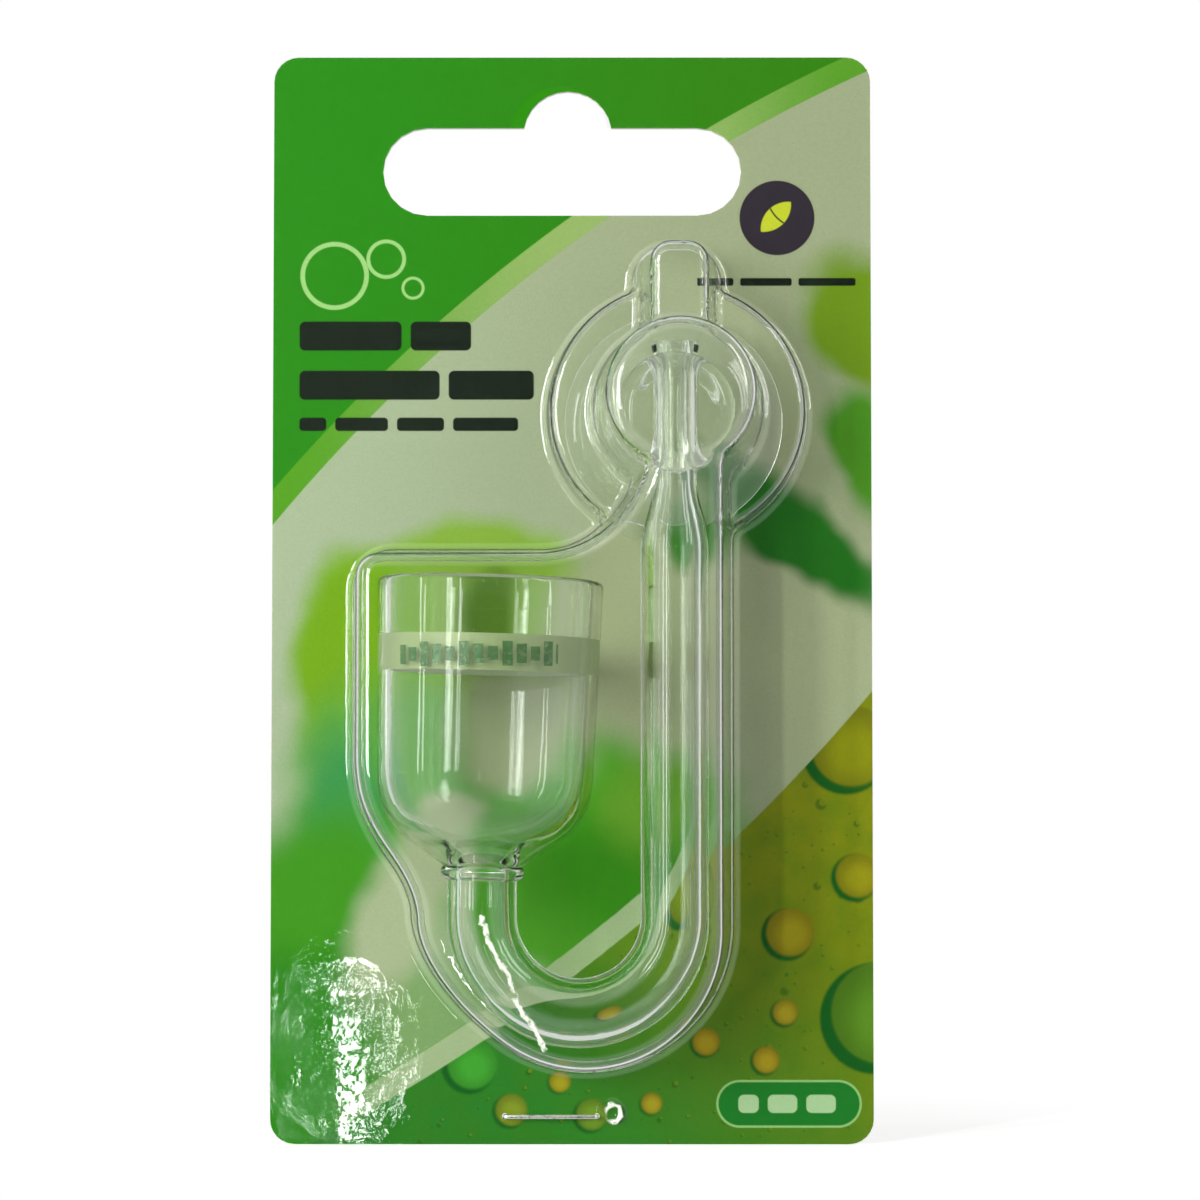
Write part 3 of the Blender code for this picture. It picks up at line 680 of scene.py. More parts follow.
def tab_rings():
    """The tab's outline from back to front, drawn in a little at both faces."""
    back_y = CUP_FACE_Y - 0.25 * MM
    outline = tab_outline()
    centre = sum(outline, Vector((0, 0))) / len(outline)
    rings = []
    for forward, shrink in ((0, 0.97), (0.15 * MM, 1.0), (0.65 * MM, 1.0), (0.8 * MM, 0.97)):
        flat = [centre + (point - centre) * shrink for point in outline]
        rings.append([(TUBE_X + point.x, back_y - forward, CUP_Z + point.y) for point in flat])
    return rings


def boolean(body, other, operation):
    """Cuts or joins the other solid, which is then thrown away."""
    modifier = body.modifiers.new(operation, "BOOLEAN")
    modifier.operation = operation
    modifier.object = other
    modifier.solver = "EXACT"
    changed = mesh_object(body.name, finished(body))
    bpy.data.objects.remove(other)
    return changed


def build_cup(material):
    middle = Vector((TUBE_X, CUP_FACE_Y, CUP_Z))
    right = Vector((1, 0, 0))
    up = Vector((0, 0, 1))
    rings = [
        circle_ring(middle + Vector((0, -forward, 0)), right, up, radius, 96)
        for radius, forward in cup_profile()
    ]
    body = mesh_object("cup_body", loft(rings))
    body = boolean(body, mesh_object("cup_tab", loft(tab_rings())), "UNION")
    bore_rings = [
        circle_ring(Vector((TUBE_X, AXIS_Y, CUP_Z + z)), right, Vector((0, 1, 0)), CUP_BORE, 64)
        for z in (-KNOB_RADIUS - 1 * MM, KNOB_RADIUS + 1 * MM)
    ]
    body = boolean(body, mesh_object("cup_hole", loft(bore_rings)), "DIFFERENCE")
    add_piece("vinyl_cup", finished(body), material, "cup", "clear_vinyl", "suction_cup", sharp=35)


# ---------------- the staple


def build_staple(material):
    """One flattened wire: a crown in front, two legs through the card, both bent in behind it."""
    crown_y = staple_low.y + WIRE_RADIUS
    clinch_y = staple_high.y - WIRE_RADIUS
    corner = 0.25 * MM
    left = staple_low.x + WIRE_RADIUS
    right = staple_high.x - WIRE_RADIUS
    path = [(STAPLE_X - STAPLE_LEG_TIP, clinch_y, 90)]
    for centre_x, centre_y, start in (
        (left + corner, clinch_y - corner, 90),
        (left + corner, crown_y + corner, 180),
        (right - corner, crown_y + corner, 270),
        (right - corner, clinch_y - corner, 360),
    ):
        for i in range(9):
            degrees = start + 90 * i / 8
            angle = math.radians(degrees)
            path.append((centre_x + corner * math.cos(angle), centre_y + corner * math.sin(angle), degrees))
    path.append((STAPLE_X + STAPLE_LEG_TIP, clinch_y, 450))
    rings = []
    for x, y, degrees in path:
        across = Vector((math.cos(math.radians(degrees)), math.sin(math.radians(degrees)), 0))
        ring = []
        for i in range(24):
            turn = 2 * math.pi * i / 24
            corners = abs(math.cos(turn)) ** WIRE_SQUARENESS + abs(math.sin(turn)) ** WIRE_SQUARENESS
            radius = 0.94 * WIRE_RADIUS * corners ** (-1 / WIRE_SQUARENESS)
            offset = radius * (math.cos(turn) * across + math.sin(turn) * Vector((0, 0, 1)))
            ring.append(Vector((x, y, STAPLE_Z)) + offset)
        rings.append(ring)
    add_piece("wire_staple", loft(rings), material, "blister", "staple_steel", "staple", sharp=45)


# ---------------- material tools


def linear(red, green, blue):
    """An 8-bit screen colour as Blender's linear colour."""
    values = []
    for value in (red, green, blue):
        value /= 255
        values.append(value / 12.92 if value <= 0.04045 else ((value + 0.055) / 1.055) ** 2.4)
    return (*values, 1.0)


class Nodes:
    """Fills a node tree. Each method adds a node and most return its output socket."""

    def __init__(self, tree):
        self.tree = tree

    def add(self, kind, inputs=None, **settings):
        made = self.tree.nodes.new(kind)
        for key, value in settings.items():
            setattr(made, key, value)
        for key, value in (inputs or {}).items():
            self.feed(made.inputs[key], value)
        return made

    def feed(self, socket, value):
        if isinstance(value, bpy.types.NodeSocket):
            self.tree.links.new(value, socket)
        else:
            socket.default_value = value

    def math(self, operation, first, second=0.0, clamp=False):
        node = self.add("ShaderNodeMath", {0: first, 1: second}, operation=operation, use_clamp=clamp)
        return node.outputs[0]

    def times(self, first, *others):
        """The product of any number of values."""
        for other in others:
            first = self.math("MULTIPLY", first, other)
        return first

    def vector(self, operation, first, second=(0, 0, 0)):
        node = self.add("ShaderNodeVectorMath", {0: first, 1: second}, operation=operation)
        return node.outputs["Value" if operation in ("LENGTH", "DISTANCE", "DOT_PRODUCT") else "Vector"]

    def stretch(self, place, x, y, z):
        return self.vector("MULTIPLY", place, (x, y, z))

    def flattened(self, place):
        """A place with its depth taken out."""
        return self.stretch(place, 1, 0, 1)

    def along(self, place, x, y, z):
        """How far a place lies in one direction."""
        return self.vector("DOT_PRODUCT", place, (x, y, z))

    def off(self, value, level):
        """How far a value is from a level, either way."""
        return self.math("ABSOLUTE", self.math("SUBTRACT", value, level))

    def ramp(self, value, low, high, out_low=0.0, out_high=1.0):
        """Turns a value smoothly from one level to another between low and high."""
        inputs = {"Value": value, "From Min": low, "From Max": high, "To Min": out_low, "To Max": out_high}
        return self.add("ShaderNodeMapRange", inputs, interpolation_type="SMOOTHSTEP").outputs["Result"]

    def mix(self, factor, first, second, blend="MIX"):
        node = self.add("ShaderNodeMix", data_type="RGBA", blend_type=blend)
        self.feed(node.inputs["Factor"], factor)
        self.feed(node.inputs[6], first)
        self.feed(node.inputs[7], second)
        return node.outputs[2]

    def level(self, factor, first, second):
        """A number between two levels."""
        return self.add("ShaderNodeMix", {"Factor": factor, "A": first, "B": second}).outputs[0]

    def noise(self, place, scale, detail=3.0, roughness=0.5, colour=False):
        inputs = {"Vector": place, "Scale": scale, "Detail": detail, "Roughness": roughness}
        node = self.add("ShaderNodeTexNoise", inputs)
        return node.outputs["Color" if colour else "Fac"]

    def place_mm(self):
        """The point on the object, in millimetres of the frame."""
        point = self.add("ShaderNodeTexCoord").outputs["Object"]
        return self.stretch(point, 1 / MM, 1 / MM, 1 / MM)

    def bump(self, height, strength, distance):
        inputs = {"Height": height, "Strength": strength, "Distance": distance}
        return self.add("ShaderNodeBump", inputs).outputs["Normal"]

    def surface(self, colour, roughness):
        """A second, plain opaque surface."""
        inputs = {"Base Color": colour, "Roughness": roughness}
        return self.add("ShaderNodeBsdfPrincipled", inputs).outputs[0]

    def clear(self, colour=WHITE):
        """A surface that light goes straight through."""
        return self.add("ShaderNodeBsdfTransparent", {"Color": colour}).outputs[0]


class Material(Nodes):
    """A new material with one main shader."""

    def __init__(self, name):
        self.material = bpy.data.materials.new(name)
        self.material.use_nodes = True
        super().__init__(self.material.node_tree)
        self.shader = self.tree.nodes["Principled BSDF"]
        self.output = self.tree.nodes["Material Output"]

    def set(self, **inputs):
        for key, value in inputs.items():
            self.feed(self.shader.inputs[key.replace("_", " ")], value)

    def blend_in(self, share, shader):
        """Puts another shader over what the material shows so far."""
        socket = self.output.inputs["Surface"]
        so_far = socket.links[0].from_socket
        over = self.add("ShaderNodeMixShader", {0: share, 1: so_far, 2: shader})
        self.tree.links.new(over.outputs[0], socket)


def clear_to_light(nodes, edge_tint, face_tint):
    """Lets lamps and bounced light straight through, so that the lamps reach the card without caustics.

    What comes through from a lamp is tinted: with one colour where the wall faces it, the other edge on.
    """
    path = nodes.add("ShaderNodeLightPath").outputs
    passing = nodes.math("MAXIMUM", path["Is Shadow Ray"], path["Is Diffuse Ray"])
    facing = nodes.add("ShaderNodeLayerWeight", {"Blend": 0.35}).outputs["Facing"]
    tint = nodes.mix(facing, face_tint, edge_tint)
    tint = nodes.mix(path["Is Shadow Ray"], (0.98, 0.98, 0.98, 1), tint)
    nodes.blend_in(passing, nodes.clear(tint))


# ---------------- the card's print

HAZE = (0.006, 0.006, 0.008)
PALE_TOP = linear(172, 188, 154)
PALE_LOW = linear(160, 170, 134)
INK = linear(14, 24, 6)


class Print(Material):
    """Paints flat shapes over one another, each a mask on the card's face in millimetres."""

    def __init__(self, name):
        super().__init__(name)
        self.place = self.place_mm()
        self.flat = self.flattened(self.place)
        self.colour = PALE_TOP

    def paint(self, mask, colour):
        self.colour = self.mix(mask, self.colour, colour)

    def blob(self, place, x, z, half_width, half_height, degrees, soft):
        """A blurred ellipse."""
        inputs = {
            "Vector": self.flattened(place),
            "Location": (x, 0, z),
            "Rotation": (0, -math.radians(degrees), 0),
            "Scale": (half_width, 1, half_height),
        }
        moved = self.add("ShaderNodeMapping", inputs, vector_type="TEXTURE").outputs[0]
        return self.ramp(self.vector("LENGTH", moved), 1 + soft, 1 - soft)

    def disc(self, x, z, radius, soft=0.06):
        away = self.vector("DISTANCE", self.flat, (x, 0, z))
        return self.ramp(away, radius + soft, radius - soft)

    def ring(self, x, z, radius, width, soft=0.05):
        away = self.vector("DISTANCE", self.flat, (x, 0, z))
        return self.ramp(self.off(away, radius), width / 2 + soft, width / 2 - soft)

    def bar(self, left, right, bottom, top, radius, grow=0.0, soft=0.05):
        """A rounded bar."""
        middle = ((left + right) / 2, 0, (bottom + top) / 2)
        core = ((right - left) / 2 - radius, 0, (top - bottom) / 2 - radius)
        offset = self.vector("ABSOLUTE", self.vector("SUBTRACT", self.flat, middle))
        beyond = self.vector("MAXIMUM", self.vector("SUBTRACT", offset, core))
        away = self.vector("LENGTH", beyond)
        return self.ramp(away, radius + grow + soft, radius + grow - soft)


def paint_band(art):
    """A pale ground over the whole card, and out-of-focus leaves as blurred ellipses."""
    wobble = art.noise(art.place, 0.12, 2.0, colour=True)
    push = art.stretch(art.vector("SUBTRACT", wobble, (0.5, 0.5, 0.5)), 5, 0, 5)
    soft_place = art.vector("ADD", art.place, push)
    across = art.along(art.place, 0.9, 0, 0.35)
    art.colour = art.mix(art.ramp(across, -24, 26), PALE_TOP, PALE_LOW)
    leaves = (
        (-10.5, -3.0, 14.0, 9.5, 8, 0.14, (138, 180, 66)),
        (-19.5, -5.5, 5.2, 9.0, -10, 0.30, (118, 170, 28)),
        (-16.0, -16.5, 8.6, 9.5, 10, 0.34, (96, 166, 66)),
        (-20.5, -20.0, 3.6, 8.0, 0, 0.45, (62, 150, 78)),
        (-22.0, -31.0, 8.8, 12.0, 0, 0.30, (64, 148, 30)),
        (-23.0, -42.0, 13.0, 10.5, 0, 0.25, (44, 130, 26)),
        (1.5, -22.5, 14.0, 10.5, 30, 0.20, (78, 156, 40)),
        (4.0, -23.5, 8.0, 6.5, 30, 0.50, (52, 132, 22)),
        (7.0, -18.0, 5.0, 4.0, 30, 0.50, (100, 156, 44)),
        (-12.4, -37.6, 6.0, 5.0, 30, 0.50, (128, 166, 104)),
        (-15.0, -28.0, 3.9, 8.6, -30, 0.40, (172, 186, 146)),
        (7.5, -3.0, 8.6, 11.0, 5, 0.24, (168, 178, 138)),
        (-4.6, -11.4, 6.2, 6.2, -12, 0.40, (174, 184, 144)),
        (-11.4, -20.8, 3.4, 2.8, 0, 0.55, (172, 186, 146)),
        (-7.4, -1.6, 2.6, 3.6, 10, 0.45, (96, 138, 36)),
        (22.0, -6.0, 5.5, 11.0, 0, 0.60, (178, 186, 148)),
        (19.5, 5.6, 11.5, 2.7, -36, 0.34, (34, 112, 30)),
        (11.0, 5.5, 4.0, 3.0, -20, 0.50, (60, 128, 40)),
        (27.0, 12.4, 6.4, 3.8, -62, 0.30, (78, 146, 36)),
        (26.8, 24.0, 7.2, 4.6, -52, 0.26, (110, 146, 30)),
    )
    for *shape, colour in leaves:
        art.paint(art.blob(soft_place, *shape), linear(*colour))


def paint_corner(art):
    """The solid green upper left corner and the lighter stripe along its curved edge."""
    circle_centre = (88, 0, -88)
    stripe_radius = 148.5
    green_radius = 150.5
    soft = 0.05
    away = art.vector("DISTANCE", art.flat, circle_centre)
    along = art.along(art.place, 1, 0, 0)
    stripe = art.mix(art.ramp(along, -26, 2), linear(86, 158, 36), linear(150, 180, 104))
    stripe = art.mix(art.ramp(along, 8, 25), stripe, linear(90, 156, 44))
    art.paint(art.ramp(away, stripe_radius - soft, stripe_radius + soft), stripe)
    green = art.mix(art.ramp(along, -20, 22), linear(40, 134, 6), linear(52, 128, 6))
    art.paint(art.ramp(away, green_radius - soft, green_radius + soft), green)


def paint_droplets(art):
    """A wet green surface with water drops at the lower right, beyond a pale stripe."""
    circle_centre = (-98, 0, 96)
    stripe_radius = 160.45
    wet_radius = 162.5
    away = art.vector("DISTANCE", art.flat, circle_centre)
    along = art.along(art.place, 1, 0, 0)
    fade = art.times(art.ramp(along, -22, -15, 0.0, 0.75), art.ramp(along, 8, 15, 1.0, 0.1))
    art.paint(art.times(art.ramp(away, stripe_radius, stripe_radius + 0.15), fade), linear(176, 194, 150))
    ground = art.ramp(art.along(art.place, 0.66, 0, 0.75), -37, 4)
    wet = art.mix(ground, linear(44, 124, 38), linear(136, 144, 14))
    mottled = art.noise(art.place, 0.35, 3.0)
    wet = art.mix(art.ramp(mottled, 0.35, 0.75, 0.0, 0.35), wet, linear(58, 120, 24))
    base = art.colour
    art.colour = wet
    paint_small_drops(art)
    drops = (
        (24.6, -13.4, 3.9, (146, 150, 18)),
        (27.2, -37.0, 4.9, (96, 146, 38)),
        (25.2, -24.8, 2.1, (158, 154, 26)),
        (19.2, -29.8, 2.3, (164, 152, 28)),
        (18.8, -36.8, 1.2, (176, 158, 36)),
        (17.1, -41.0, 1.25, (178, 156, 36)),
        (11.8, -39.4, 1.3, (176, 154, 34)),
        (7.0, -44.8, 1.0, (168, 156, 38)),
        (-1.1, -42.9, 1.0, (166, 158, 36)),
        (-5.4, -45.4, 1.5, (132, 152, 42)),
        (1.7, -45.8, 1.5, (112, 150, 44)),
        (-8.9, -41.4, 2.4, (66, 164, 50)),
        (10.2, -26.0, 3.4, (120, 146, 20)),
        (3.4, -37.4, 1.3, (168, 156, 40)),
    )
    for x, z, radius, colour in drops:
        light = linear(*colour)
        art.paint(art.disc(x - 0.08 * radius, z - 0.06 * radius, radius, 0.2), linear(18, 92, 30))
        body = tuple(0.66 * level for level in light[:3]) + (1,)
        art.paint(art.disc(x + 0.05 * radius, z + 0.05 * radius, radius * 0.92, 0.2), body)
        art.paint(art.disc(x + 0.10 * radius, z - 0.06 * radius, radius * 0.62, radius * 0.34), light)
    art.colour = art.mix(art.ramp(away, wet_radius, wet_radius + 0.12), base, art.colour)


def paint_small_drops(art):
    """Many small drops, scattered without order, each with a dark lower left and a light middle."""
    for scale, reach, strength in ((0.30, 0.30, 0.55), (0.62, 0.34, 0.50), (1.25, 0.36, 0.40)):
        lower_left = art.vector("ADD", art.flat, (0.10 / scale**0.5, 0, 0.10 / scale**0.5))
        for place, grow, colour in (
            (lower_left, 0.03, linear(22, 84, 20)),
            (art.flat, -0.02, linear(138, 150, 30)),
        ):
            inputs = {"Vector": place, "Scale": scale, "Randomness": 0.9}
            cells = art.add("ShaderNodeTexVoronoi", inputs, feature="F1")
            chance = art.add("ShaderNodeSeparateColor", {0: cells.outputs["Color"]}).outputs[0]
            size = art.times(art.math("SUBTRACT", chance, 0.35), reach)
            beyond = art.math("SUBTRACT", cells.outputs["Distance"], size)
            drop = art.ramp(beyond, grow + 0.03, grow - 0.03)
            art.paint(art.times(drop, strength), colour)


def paint_marks(art):
    """Plain bars, bubbles and a leaf stand in for the words, badge and round mark."""
    for bubble in ((-21.2, 28.7, 2.85, 0.42), (-16.6, 30.2, 1.6, 0.34), (-14.2, 27.6, 0.9, 0.26)):
        art.paint(art.ring(*bubble), linear(160, 210, 128))
    rows = (
        (22.0, 24.6, 0.5, ((-24.3, -15.2), (-14.4, -9.0))),
        (17.6, 20.2, 0.5, ((-24.3, -11.8), (-11.0, -3.4))),
        (14.8, 16.0, 0.35, ((-24.3, -21.9), (-21.1, -16.4), (-15.6, -11.4), (-10.6, -4.8))),
        (27.8, 28.5, 0.2, ((11.2, 14.4), (15.0, 19.6), (20.2, 25.3))),
    )
    for bottom, top, radius, words in rows:
        for left, right in words:
            art.paint(art.bar(left, right, bottom, top, radius), INK)
    dark = linear(48, 40, 52)
    art.paint(art.disc(18.3, 33.9, 3.35), dark)
    leaf = art.times(art.disc(17.1, 35.1, 2.45), art.disc(19.3, 32.9, 2.45))
    art.paint(leaf, linear(196, 206, 52))
    art.paint(art.times(art.ring(20.6, 36.2, 3.24, 0.14), leaf), dark)
    badge = (12.75, 25.6, -46.9, -42.7, 2.09)
    art.paint(art.bar(*badge), linear(150, 200, 120))
    art.paint(art.bar(*badge, grow=-0.2), linear(30, 124, 42))
    for x, half in ((15.6, 0.9), (18.6, 1.3), (22.0, 1.3)):
        art.paint(art.bar(x - half, x + half, -45.6, -44.0, 0.5), linear(178, 214, 160))


def card_material():
    """Coated board: the print in front, bare grey board behind, white core at the cut edges."""
    art = Print("printed_card")
    paint_band(art)
    paint_corner(art)
    paint_droplets(art)
    paint_marks(art)
    art.colour = art.vector("MAXIMUM", art.vector("SUBTRACT", art.colour, HAZE), (0, 0, 0))
    grain = art.noise(art.place, 9.0, 2.0)
    fleck = art.noise(art.place, 1.6, 4.0, 0.7)
    printed = art.mix(art.ramp(grain, 0.3, 0.7, 0.0, 0.10), art.colour, linear(20, 60, 10))
    fibre = art.noise(art.stretch(art.place, 1, 1, 6), 1.4, 5.0, 0.65)
    board = art.mix(art.ramp(fibre, 0.35, 0.65), linear(196, 194, 186), linear(214, 212, 205))
    board = art.mix(art.ramp(fleck, 0.62, 0.70), board, linear(168, 164, 154))
    core = art.mix(art.noise(art.place, 4.0), linear(226, 228, 214), linear(244, 244, 236))
    normal = art.add("ShaderNodeNewGeometry").outputs["True Normal"]
    facing = art.along(normal, *FRONT_TO_BACK)
    surface = art.mix(art.ramp(facing, 0.6, 0.8), core, board)
    front = art.ramp(facing, -0.6, -0.8)
    surface = art.mix(front, surface, printed)
    gloss = art.times(front, art.ramp(fleck, 0.2, 0.8, 0.50, 0.38))
    rough = art.math("SUBTRACT", 0.9, gloss)
    relief = art.math("ADD", grain, art.times(fibre, 0.6))
    art.set(Base_Color=surface, Roughness=rough, Normal=art.bump(relief, 0.12, 0.00004))
    art.set(Specular_IOR_Level=0.1)
    return art.material


# ---------------- the other materials


def film_material():
    """Thin clear plastic with a faint ripple, and fine pimples low on the left that break up the glare."""
    film = Material("clear_film")
    place = film.place_mm()
    flat = film.flattened(place)
    patch_middle = (-21.5, 0, -41.5)
    from_patch = film.vector("SUBTRACT", flat, patch_middle)
    away = film.vector("LENGTH", film.stretch(from_patch, 0.14, 0, 0.10))
    ragged = film.math("ADD", away, film.ramp(film.noise(place, 0.35, 4.0, 0.7), 0.2, 0.8, -0.4, 0.4))
    patch = film.ramp(ragged, 1.1, 0.5)
    stretched = film.vector("ADD", film.stretch(flat, 1.3, 0, 0.85), (0, 0.21, 0))
    pimple_height = 0.0042
    pimples = film.ramp(film.noise(stretched, 2.6, 2.0, 0.6), 0.51, 0.70, 0.0, pimple_height)
    calm = film.ramp(patch, 0.0, 1.0, 0.016, 0.003)
    ripple = film.times(film.noise(place, 0.35, 2.0), calm)
    relief = film.math("ADD", ripple, film.times(pimples, patch))
    scuff = film.ramp(film.noise(place, 0.8, 6.0, 0.75), 0.55, 0.85, 0.0, 0.05)
    film.set(Base_Color=(0.985, 0.995, 0.985, 1), Roughness=scuff, IOR=1.50, Transmission_Weight=1.0)
    film.set(Normal=film.bump(relief, 1.0, 0.001))
    facing = film.add("ShaderNodeLayerWeight", {"Blend": 0.5}).outputs["Facing"]
    film.blend_in(film.ramp(facing, 0.78, 0.93, 0.0, 0.7), film.clear((0.90, 0.93, 0.87, 1)))
    clear_to_light(film, (0.62, 0.65, 0.60, 1), (0.99, 0.995, 0.99, 1))
    # painted highlights in opaque white: a streak over the bend and a ring by the staple
    paint_streak_highlights(film, place)
    hide_cut_edge(film, place)
    return film.material


def distance_to_streak(film, shaken):
    """How far a place is from the nearest stretch of the painted highlight streak."""
    nearest = None
    for start, end in zip(STREAK_PATH, STREAK_PATH[1:]):
        length = math.dist(start, end)
        along = ((end[0] - start[0]) / length, 0, (end[1] - start[1]) / length)
        offset = film.vector("SUBTRACT", shaken, (start[0], 0, start[1]))
        share = film.math("MINIMUM", film.math("MAXIMUM", film.along(offset, *along), 0.0), length)
        foot = film.add("ShaderNodeVectorMath", {0: along, "Scale": share}, operation="SCALE").outputs[0]
        away = film.vector("DISTANCE", offset, foot)
        nearest = away if nearest is None else film.math("MINIMUM", nearest, away)
    return nearest


def paint_streak_highlights(film, place):
    """Painted highlights in opaque white: a jagged streak over the bend and a ring by the staple's pucker."""
    shake = film.vector("SUBTRACT", film.noise(place, 0.9, 3.0, 0.7, colour=True), (0.5, 0.5, 0.5))
    shaken = film.vector("ADD", film.flattened(place), film.stretch(shake, 1.1, 0, 1.1))
    broken = film.ramp(film.noise(place, 1.1, 3.0), 0.32, 0.48)
    roof_y = -16.0
    front = film.ramp(film.along(place, *FRONT_TO_BACK), roof_y + 1.0, roof_y)
    streak_highlight = film.times(film.ramp(distance_to_streak(film, shaken), 0.26, 0.08), broken, front)
    from_curl = film.vector("SUBTRACT", shaken, (PUCKER_X / MM, 0, PUCKER_Z / MM))
    curl_radius = 0.72
    round_it = film.off(film.vector("LENGTH", from_curl), curl_radius)
    parts = film.add("ShaderNodeSeparateXYZ", {0: from_curl}).outputs
    open_side = film.ramp(film.math("ADD", parts[0], film.times(parts[2], 0.6)), -0.75, -0.35)
    curl_highlight = film.times(film.ramp(round_it, 0.24, 0.08), open_side)
    # an opaque white surface blended in as painted highlight, standing in for lamp reflections in the warped
    # film
    white = film.surface(linear(236, 242, 226), 0.45)
    film.blend_in(film.times(film.math("MAXIMUM", streak_highlight, curl_highlight), 0.85), white)


def hide_cut_edge(film, place):
    """The die-cut edge of the sheet is so thin that it hardly shows, so it lets light straight through."""
    normal = film.add("ShaderNodeNewGeometry").outputs["True Normal"]
    sideways = film.ramp(film.math("ABSOLUTE", film.along(normal, *FRONT_TO_BACK)), 0.35, 0.25)
    low = (FLANGE_FRONT_Y - 0.45 * MM) / MM
    at_flange = film.ramp(film.along(place, *FRONT_TO_BACK), low - 0.05, low + 0.05)
    film.blend_in(film.times(sideways, at_flange, 0.9), film.clear((0.97, 0.98, 0.97, 1)))


def glass_material():
    """Hand-worked glass with very slight draw lines. The long leg's thick wall casts a darker shadow."""
    glass = Material("clear_glass")
    place = glass.place_mm()
    draw = glass.noise(glass.stretch(place, 1, 1, 0.05), 0.5, 2.0)
    smear = glass.ramp(glass.noise(place, 0.22, 5.0, 0.7), 0.5, 0.85, 0.0, 0.04)
    glass.set(Base_Color=(0.965, 0.985, 0.965, 1), Roughness=smear, IOR=1.47, Transmission_Weight=1.0)
    glass.set(Normal=glass.bump(draw, 0.10, 0.0002))
    leg_starts_x = 4.0
    long_leg = glass.ramp(glass.along(place, 1, 0, 0), leg_starts_x, leg_starts_x + 1.0)
    face_tint = glass.mix(long_leg, (0.97, 0.98, 0.96, 1), (0.48, 0.50, 0.46, 1))
    edge_tint = glass.mix(long_leg, (0.60, 0.63, 0.58, 1), (0.14, 0.15, 0.13, 1))
    clear_to_light(glass, edge_tint, face_tint)
    print_on_bell(glass, place)
    return glass.material


def print_on_bell(glass, place):
    """Plain blocks of dark green enamel in three heights on the outside of the bell, level with the disc."""
    pitch = 1.25
    row_z = -5.75
    half_row = 7.6
    lean_x = (BELL_X + (DISC_TOP - NECK_END) * math.tan(BELL_LEAN)) / MM
    from_axis = glass.vector("SUBTRACT", place, (lean_x, AXIS_Y / MM, 0))
    parts = glass.add("ShaderNodeSeparateXYZ", {0: from_axis}).outputs
    outward = glass.vector("LENGTH", glass.stretch(from_axis, 1, 1, 0))
    turn = glass.math("ARCTAN2", parts[0], glass.times(parts[1], -1.0))
    around = glass.times(turn, BELL_RADIUS / MM)
    block = glass.ramp(glass.off(glass.math("FLOORED_MODULO", around, pitch), 0.62), 0.47, 0.42)
    number = glass.math("FLOOR", glass.math("DIVIDE", around, pitch))
    rise = glass.times(glass.math("FLOORED_MODULO", glass.times(number, 2.0), 3.0), 0.22)
    tall = glass.ramp(glass.math("SUBTRACT", glass.off(parts[2], row_z), rise), 0.62, 0.56)
    span = glass.ramp(glass.off(around, -0.9), half_row, half_row - 0.1)
    outside = glass.ramp(outward, 9.1, 9.2)
    wear = glass.ramp(glass.noise(place, 2.2, 4.0, 0.7), 0.30, 0.55, 0.45, 0.92)
    glass.blend_in(glass.times(block, tall, span, outside, wear), glass.surface(linear(44, 92, 40), 0.5))


def ceramic_material():
    """Fine sintered ceramic, off-white with open pores, which are painted darker as shade in their hollows."""
    ceramic = Material("porous_ceramic")
    place = ceramic.place_mm()
    cells = ceramic.add("ShaderNodeTexVoronoi", {"Vector": place, "Scale": 3.2}, feature="F1")
    pores = ceramic.ramp(cells.outputs["Distance"], 0.12, 0.34)
    tone = ceramic.noise(place, 0.6, 5.0, 0.65)
    colour = ceramic.mix(tone, linear(176, 190, 148), linear(200, 210, 174))
    # the pores are painted darker: painted shade in their hollows
    colour = ceramic.mix(pores, linear(142, 154, 116), colour)
    ceramic.set(Base_Color=colour, Roughness=0.92, Subsurface_Weight=0.2, Subsurface_Scale=0.0006)
    ceramic.set(Normal=ceramic.bump(pores, 0.5, 0.00008))
    return ceramic.material


def soft_clear_material(name, colour, roughness, grain, edge_tint, clearness):
    """Clear silicone or vinyl: a little milky, with a faint moulded skin."""
    soft = Material(name)
    place = soft.place_mm()
    skin = soft.noise(place, grain, 4.0, 0.6)
    rough = soft.ramp(skin, 0.3, 0.8, roughness, roughness * 2.2)
    tone = soft.mix(soft.noise(place, 0.4, 2.0), colour, tuple(0.96 * c for c in colour[:3]) + (1,))
    soft.set(Base_Color=tone, Roughness=rough, IOR=1.45, Transmission_Weight=clearness)
    soft.set(Normal=soft.bump(skin, 0.06, 0.0001))
    clear_to_light(soft, edge_tint, (0.9, 0.92, 0.88, 1))
    return soft.material


def steel_material():
    """Zinc-plated wire, drawn lengthwise, with a few dull spots."""
    steel = Material("staple_steel")
    place = steel.place_mm()
    drawn = steel.noise(steel.stretch(place, 0.3, 6.0, 6.0), 3.0, 4.0, 0.6)
    spots = steel.ramp(steel.noise(place, 2.5, 3.0), 0.55, 0.7)
    colour = steel.mix(spots, linear(222, 226, 214), linear(176, 178, 166))
    steel.set(Base_Color=colour, Metallic=1.0, Roughness=steel.ramp(drawn, 0.3, 0.7, 0.22, 0.42))
    steel.set(Normal=steel.bump(drawn, 0.15, 0.00003))
    return steel.material


# ---------------- the stage


